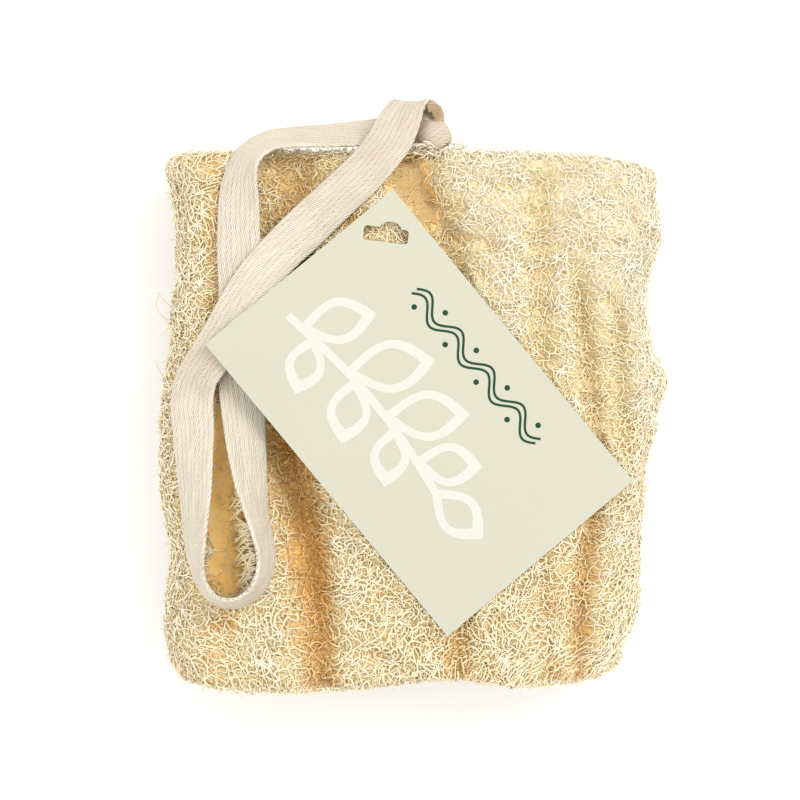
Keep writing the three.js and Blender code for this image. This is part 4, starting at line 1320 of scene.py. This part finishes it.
def makeStars(s, rng):
    # Star-like knots of the net: arms leave one place at even angles, each a little bent.
    wide, half = netSettings["perimeter"] / 4, netSettings["length"] / 2 - 3
    n, arms = s["count"], s["arms"]
    middle = np.stack([rng.uniform(-wide, wide, n), rng.uniform(-half, half, n)], -1)
    middle = middle[rng.random(n) > shadeAt(middle) + 1.1 * bareAt(middle)]
    n = len(middle)
    angle = np.arange(arms) * 2 * np.pi / arms + rng.uniform(-0.35, 0.35, (n, arms)) + rng.random((n, 1)) * 6
    reach = rng.uniform(*s["reach"], (n, arms))
    t = np.linspace(0, 1, 4)
    heading = angle[..., None] + rng.uniform(-0.5, 0.5, (n, arms))[..., None] * t
    away = np.stack([np.cos(heading), np.sin(heading)], -1) * (reach[..., None] * t)[..., None]
    flat = middle[:, None, None] + away
    depth = -0.2 + 0.5 * t ** 2 + 0 * reach[..., None]
    size = s["radius"] * rng.uniform(0.8, 1.3, (n * arms, 1)) * (1.25 - 0.5 * t)
    return layStrands("starStrands", flat.reshape(-1, 4, 2), depth.reshape(-1, 4), size, -0.05, rng, True)


fringeSettings = {
    "sides": 2300,  # loose ends that stand off the long sides
    "rims": 1500,  # the same along both cut ends
    "top": 900,  # and on the upper side
    "length": (0.6, 2.3),
    "radius": 0.09,
    "spread": 8.0,  # mm round the section, over which those of the sides are spread
    "lean": 0.6,
    "curl": 0.55,
}


def makeFringe(s, rng):
    # Loose fibre ends: each leaves the skin, leans at random and curls over. The way out is the normal of
    # the section's outline, and along Y near the cut ends.
    girth, half = netSettings["perimeter"], netSettings["length"] / 2
    sides = rng.choice([-1.0, 1.0], s["sides"]) * girth / 4 + rng.normal(0, s["spread"], s["sides"])
    u = np.concatenate([sides, rng.uniform(-0.3 * girth, 0.3 * girth, s["rims"]),
                        rng.uniform(-0.2 * girth, 0.2 * girth, s["top"])])
    rims = rng.choice([-1.0, 1.0], s["rims"]) * (half - rng.uniform(0, 3, s["rims"]))
    v = np.concatenate([rng.uniform(-half, half, s["sides"]), rims, rng.uniform(-half, half, s["top"])])
    round_, along = lapOf(np.stack([u, v], -1))
    foot, _ = skinAt(round_, along, np.full(u.shape, 0.5))
    d = skin(round_ + 0.01, along) - skin(round_ - 0.01, along)
    n = len(u)
    out = np.stack([-d[:, 2], np.zeros(n), d[:, 0]], -1)
    out *= -1 / np.maximum(np.linalg.norm(out, axis=1, keepdims=True), 1e-9)
    out[:, 1] += np.sign(along) * np.clip((np.abs(along) - 0.93) / 0.05, 0, 1) * 1.2
    out += rng.normal(0, s["lean"], (n, 3))
    out /= np.linalg.norm(out, axis=1, keepdims=True)
    long_ = (s["length"][0] + (s["length"][1] - s["length"][0]) * rng.random(n) ** 2)[:, None]
    curl = rng.normal(0, s["curl"], (n, 3)) * long_
    t = np.linspace(0, 1, 5)[:, None]
    paths = foot[:, None] + (out * long_)[:, None] * t + curl[:, None] * t ** 2 * (1.3 - t)
    paths[..., 2] = np.maximum(paths[..., 2], pad["offFloor"])
    keep = ~underTag(paths, -2).any(1)
    size = s["radius"] * rng.uniform(0.7, 1.4, (n, 1)) * np.linspace(1.2, 0.6, 5)
    return strandPieces("fringe", paths[keep], size[keep], 0.3, np.zeros(paths[keep].shape[:2]), rng)


def surfaceAt(x, y, lift):
    return np.stack([x, y, topHeight(x, y) + lift], -1)


def makeTeeth(s, rng):
    # Pale strands that reach in from the loop's right side over the smooth golden floor, most of them
    # forked: a stem bends as a parabola, and its fork leaves it half way up.
    n = s["count"]
    y = rng.uniform(*s["from"], n)
    long_ = rng.uniform(*s["length"], n) * np.interp(y, [-42, -36, -24, -15], [0.7, 1.15, 1.0, 0.6])
    t = np.linspace(0, 1, 7)
    drop = rng.normal(-0.12, 0.35, n)[:, None] * long_[:, None] * t ** 2
    x = np.interp(y, *np.transpose(s["foot"]))[:, None] - long_[:, None] * t + rng.normal(0, 0.5, (n, 1))
    rise = s["lift"] * np.sin(np.pi * t ** 0.8) - 0.3
    stems = surfaceAt(x, y[:, None] + drop + rng.normal(0, 0.1, x.shape), rise)
    size = s["radius"] * rng.uniform(0.75, 1.3, (n, 1)) * np.linspace(1.2, 0.75, 7)
    half = stems[:, 3]
    turn = rng.choice([-1.0, 1.0], (n, 1)) * rng.uniform(0.5, 1.1, (n, 1)) * long_[:, None] * 0.5
    fx, fy = half[:, :1] - 0.35 * long_[:, None] * t, half[:, 1:2] + turn * t
    forks = surfaceAt(fx, fy, half[:, 2:] - topHeight(half[:, :1], half[:, 1:2]) - 0.6 * t ** 2)
    paths, sizes = np.concatenate([stems, forks]), np.concatenate([size, 0.8 * size])
    return strandPieces("loopTeeth", paths, sizes, s["tone"], np.zeros(sizes.shape), rng)


teethSettings = {
    "count": 80,
    "from": (-40, -15),
    "foot": [(-42, -34), (-32, -34.2), (-22, -36), (-15, -38)],  # y and x where they start
    "length": (3.0, 6.2),
    "lift": 3.0,
    "tone": -0.02,
    "radius": 0.23,
}

knotFringeSettings = {
    "count": 260,
    "middle": (2.6, 62.2, 23.0),
    "spread": (4.8, 0.9, 3.6),
    "length": (1.8, 4.4),
    "radius": 0.13,
}


def makeKnotFringe(s, rng):
    # Strands of the pad's rim that close round the knot's foot: arcs that lie mostly across, each bending
    # as a parabola in its own direction.
    n = s["count"]
    middle = np.array(s["middle"]) + np.array(s["spread"]) * rng.normal(0, 1, (n, 3)).clip(-1.7, 1.7)
    way = unit(rng.normal(0, 1, (n, 3)) * (1.0, 0.25, 0.6)) * rng.uniform(*s["length"], (n, 1))
    bend = rng.normal(0, 0.3, (n, 3)) * (1, 0.4, 1) * np.linalg.norm(way, axis=1, keepdims=True)
    t = np.linspace(-0.5, 0.5, 6)[:, None]
    paths = middle[:, None] + way[:, None] * t + bend[:, None] * (1 - 4 * t ** 2)
    size = s["radius"] * rng.uniform(0.7, 1.3, (n, 1)) * np.ones(6)
    return strandPieces("knotFringe", paths, size, 0.0, np.zeros((n, 6)), rng)


# Long thin stray hairs that stand off the sides, as x, y at one height each.
straySettings = {
    "radius": 0.09,
    "tone": 0.5,
    "hairs": [
        (18, [(-55, 51), (-56.6, 52.6), (-58.3, 53.4)]),
        (19, [(-53, 42.3), (-55, 41.8), (-57, 42.2)]),
        (17, [(-54.5, 20.5), (-56.2, 22.5), (-58.6, 24.5), (-59.8, 27), (-59.1, 29.5)]),
        (20, [(-54.5, 25.4), (-55.8, 26), (-57.2, 27.3), (-59.2, 29.8)]),
        (15, [(-55, 22.6), (-56.6, 22), (-58, 20.2), (-59.3, 20)]),
        (18, [(-55.5, 6.4), (-57.3, 8.6), (-59.3, 12.5), (-60.2, 13.8)]),
        (16, [(-56, 8), (-57.2, 7.2), (-59.2, 4.8)]),
        (19, [(56.8, 59), (55.7, 58), (53, 60.3), (49.3, 61.2)]),
        (17, [(55, 57.8), (56.4, 57.3), (58.5, 55), (57.5, 52.5), (59.3, 51.4)]),
        (18, [(54.5, 40.6), (56.4, 40), (58.2, 38.6), (57.5, 36)]),
    ],
}


def makeStrays(s, rng):
    # Each hair is a smooth curve through its few places, with both ends a little lower than its middle.
    t = np.linspace(0, 1, 14)
    paths = np.array([centripetal([(x, y, z) for x, y in places], t) for z, places in s["hairs"]])
    paths[..., 2] -= 3 * (2 * t - 1) ** 2
    size = s["radius"] * np.linspace(1.3, 0.7, 14) * np.ones((len(paths), 1))
    return strandPieces("strayHairs", paths, size, s["tone"], np.zeros(paths.shape[:2]), rng)


def channelSink(x, z):
    # Shallow hollows where the seed channels are pressed shut: one bell each across and up the cut end.
    sunk = np.zeros(x.shape)
    for cx, cz, wide, high, deep in channels:
        sunk += deep * np.exp(-((x - cx) / wide) ** 2 - ((z - cz) / high) ** 2)
    return sunk


def cutFace(x, v, side, depth):
    # A place on a cut end: x across, v from -1 at the underside to 1 at the top, sunk by depth and the
    # channels.
    y = side * endAt(side, x)
    reach = reachAt(x, y)
    half = np.where(v > 0, upperHalf(x, y), lowerHalf(x, y)) - 0.6 * pad["rimRadius"]
    z = middleHeight + v * half * sideShare(x, reach)
    y = y - side * (depth + (channelSink(x, z) + lumps(np.stack([x, y, z], -1), 3, 4, 0.5)) * (1 - v ** 6))
    return np.stack([x, y, z], -1), reach


cutSettings = {
    # The deeper layer has a deeper tone: partly the fibre's own colour, partly painted shade in the net's
    # holes.
    # name, cell mm, radius mm, least and most depth mm, tone
    "layers": [("cutNet", 1.9, 0.17, -0.1, 0.6, 0.05), ("cutNetFine", 1.9, 0.13, 0.7, 1.6, 0.16)],
    "size": (116, 27),  # mm of net laid over each end
    "halfHeight": 13.2,
    "stubs": 1500,
    "stubLength": (0.8, 3.0),
    "stubRadius": 0.1,
}


def makeCutNets(s, rng):
    # A honeycomb across each cut end, and short stubs of cut strands that stand out of it along Y.
    made = []
    for name, cell, radius, near, far, tone in s["layers"]:
        both = []
        for side in (-1.0, 1.0):
            flat, links = honeycomb(*s["size"], cell, 0.8, rng)
            flat[:, 0] -= s["size"][0] / 2
            a, b = flat[links[:, 0]], flat[links[:, 1]]
            past = rng.uniform(0, 0.3, (len(a), 1)) * (b - a)
            path = np.stack([a - past, (a + b) / 2 + rng.normal(0, 0.15, a.shape), b + past], 1)
            v = path[..., 1] / s["halfHeight"]
            depth = np.repeat(rng.uniform(near, far, (len(a), 1)), 3, 1) + rng.normal(0, 0.2, (len(a), 3))
            places, reach = cutFace(path[..., 0], np.clip(v, -1, 1), side, depth)
            shown = (np.abs(v) < 1).all(1) & (np.abs(path[..., 0]) < reach - 1.2).all(1)
            both.append(places[shown])
        paths = np.concatenate(both)
        size = radius * rng.uniform(0.6, 1.4, len(paths))[:, None] * np.ones(3)
        made += strandPieces(name, paths, size, tone, np.zeros(paths.shape[:2]), rng)
    n = s["stubs"]
    side = np.where(rng.random(n) < 0.5, -1.0, 1.0)
    x, v = rng.uniform(-56, 56, n), rng.uniform(-1, 1, n)
    foot, reach = cutFace(x, v, side, np.full(n, 0.6))
    keep = np.abs(x) < reach - 1.5
    foot, side = foot[keep], side[keep]
    n = len(foot)
    out = rng.normal(0, 0.55, (n, 3))
    out[:, 1] = side * rng.uniform(0.5, 1.2, n)
    long_ = rng.uniform(*s["stubLength"], n)[:, None]
    out *= long_ / np.linalg.norm(out, axis=1, keepdims=True)
    curl = rng.normal(0, 0.3, (n, 3)) * long_
    t = np.linspace(0, 1, 4)[:, None]
    paths = foot[:, None] + out[:, None] * t + curl[:, None] * t * (1 - t)
    paths[..., 2] = np.maximum(paths[..., 2], pad["offFloor"])
    size = s["stubRadius"] * rng.uniform(0.6, 1.3, (n, 1)) * np.linspace(1.1, 0.6, 4)
    return made + strandPieces("cutStubs", paths, size, 0.02, np.zeros(paths.shape[:2]), rng)


def makeGround(s):
    # The closed surface under the nets: the skin on a grid, sunk by the ground's depth, and both cut faces.
    columns, rows = s["columns"], s["rows"]
    r = np.arange(columns) * 4 / columns
    q = np.linspace(-0.975, 0.975, rows)
    rounds, alongs = np.meshgrid(r, q, indexing="ij")
    placed, pit = skinAt(rounds, alongs, np.full(rounds.shape, s["depth"]))
    placed = keepUnder(placed, s["underTape"])
    index = np.arange(columns * rows).reshape(columns, rows)
    nxt = np.roll(index, -1, 0)
    quads = np.stack([index[:, :-1], index[:, 1:], nxt[:, 1:], nxt[:, :-1]], -1).reshape(-1, 4)
    caps, extra = [], [placed.reshape(-1, 3)]
    base = columns * rows
    t = np.linspace(0, 1, s["capRows"] + 1)[1:-1, None, None]
    for side, column in ((-1, 0), (1, rows - 1)):
        rimIds = index[:, column]
        upperIds = np.concatenate([rimIds[3 * columns // 4:], rimIds[:columns // 4 + 1]])
        lowerIds = rimIds[columns // 4:3 * columns // 4 + 1][::-1]
        points = placed.reshape(-1, 3)
        grid = points[upperIds][None] * (1 - t) + points[lowerIds][None] * t
        sunk = channelSink(grid[..., 0], grid[..., 2]) + 0.5 * lumps(grid, 3, 3, 1.0)
        grid[..., 1] -= side * sunk * np.sin(np.pi * t[..., 0])
        ids = base + np.arange(grid.shape[0] * grid.shape[1]).reshape(grid.shape[:2])
        ids[:, 0], ids[:, -1] = upperIds[0], upperIds[-1]
        ids = np.concatenate([upperIds[None], ids, lowerIds[None]])
        base += grid.shape[0] * grid.shape[1]
        extra.append(grid.reshape(-1, 3))
        quad = np.stack([ids[:-1, :-1], ids[1:, :-1], ids[1:, 1:], ids[:-1, 1:]], -1).reshape(-1, 4)
        caps.append(quad if side > 0 else quad[:, ::-1])
    points = np.concatenate(extra)
    piece = makeMesh("padGround", points, np.concatenate([quads] + caps))
    pits = np.concatenate([pit.reshape(-1), np.zeros(len(points) - pit.size)])
    return piece, points, pits


groundSettings = {"columns": 340, "rows": 120, "capRows": 14, "depth": 0.86, "tone": 0.42, "valleyTone": 0.18,
                  "pitShade": 0.12, "underTape": 0.8}

rng = np.random.default_rng(netSettings["seed"])
pieces = []
ground, groundPoints, groundPits = makeGround(groundSettings)
# The ground's tone: a deep golden base that is partly painted shade under the nets, deeper in the valleys and
# golden places where it is partly painted shade, painted shade in the pits, and paler towards the upper right
# as painted light.
shade = groundSettings["tone"] + groundSettings["valleyTone"] * valleyGoldAndShade(groundPoints)
shade += groundSettings["pitShade"] * groundPits - upperRightLight(groundPoints) + bareness(groundPoints, goldAndShade=True)
setAttribute(ground, "tone", np.clip(shade, 0, 1))
ground.data.materials.append(bedMaterial)
pieces.append(ground)
for layer in netSettings["layers"]:
    pieces += makeNet(*layer, rng)
for curls in netSettings["curls"]:
    pieces += makeCurls(*curls, rng)
pieces += makeStars(netSettings["stars"], rng)
pieces += makeBedStrands(netSettings["bedStrands"], rng)
pieces += makeFringe(fringeSettings, rng)
pieces += makeCutNets(cutSettings, rng)
pieces += makeTeeth(teethSettings, rng)
pieces += makeKnotFringe(knotFringeSettings, rng)
pieces += makeStrays(straySettings, rng)
for piece in pieces:
    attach(piece, "root")
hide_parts("loofah_sponge")
print("fibre net made")

floorSettings = {"size": 4000.0, "colour": (0.93, 0.93, 0.925)}


def makeFloor(s):
    half = s["size"] / 2
    corners = np.array([[-half, -half, 0], [half, -half, 0], [half, half, 0], [-half, half, 0]])
    floor = makeMesh("floor", corners, np.array([[0, 1, 2, 3]]), smooth=False)
    material = bpy.data.materials.new("floorPaper")
    material.use_nodes = True
    shader = material.node_tree.nodes["Principled BSDF"]
    shader.inputs["Base Color"].default_value = (*s["colour"], 1)
    shader.inputs["Roughness"].default_value = 0.9
    floor.data.materials.append(material)


makeFloor(floorSettings)
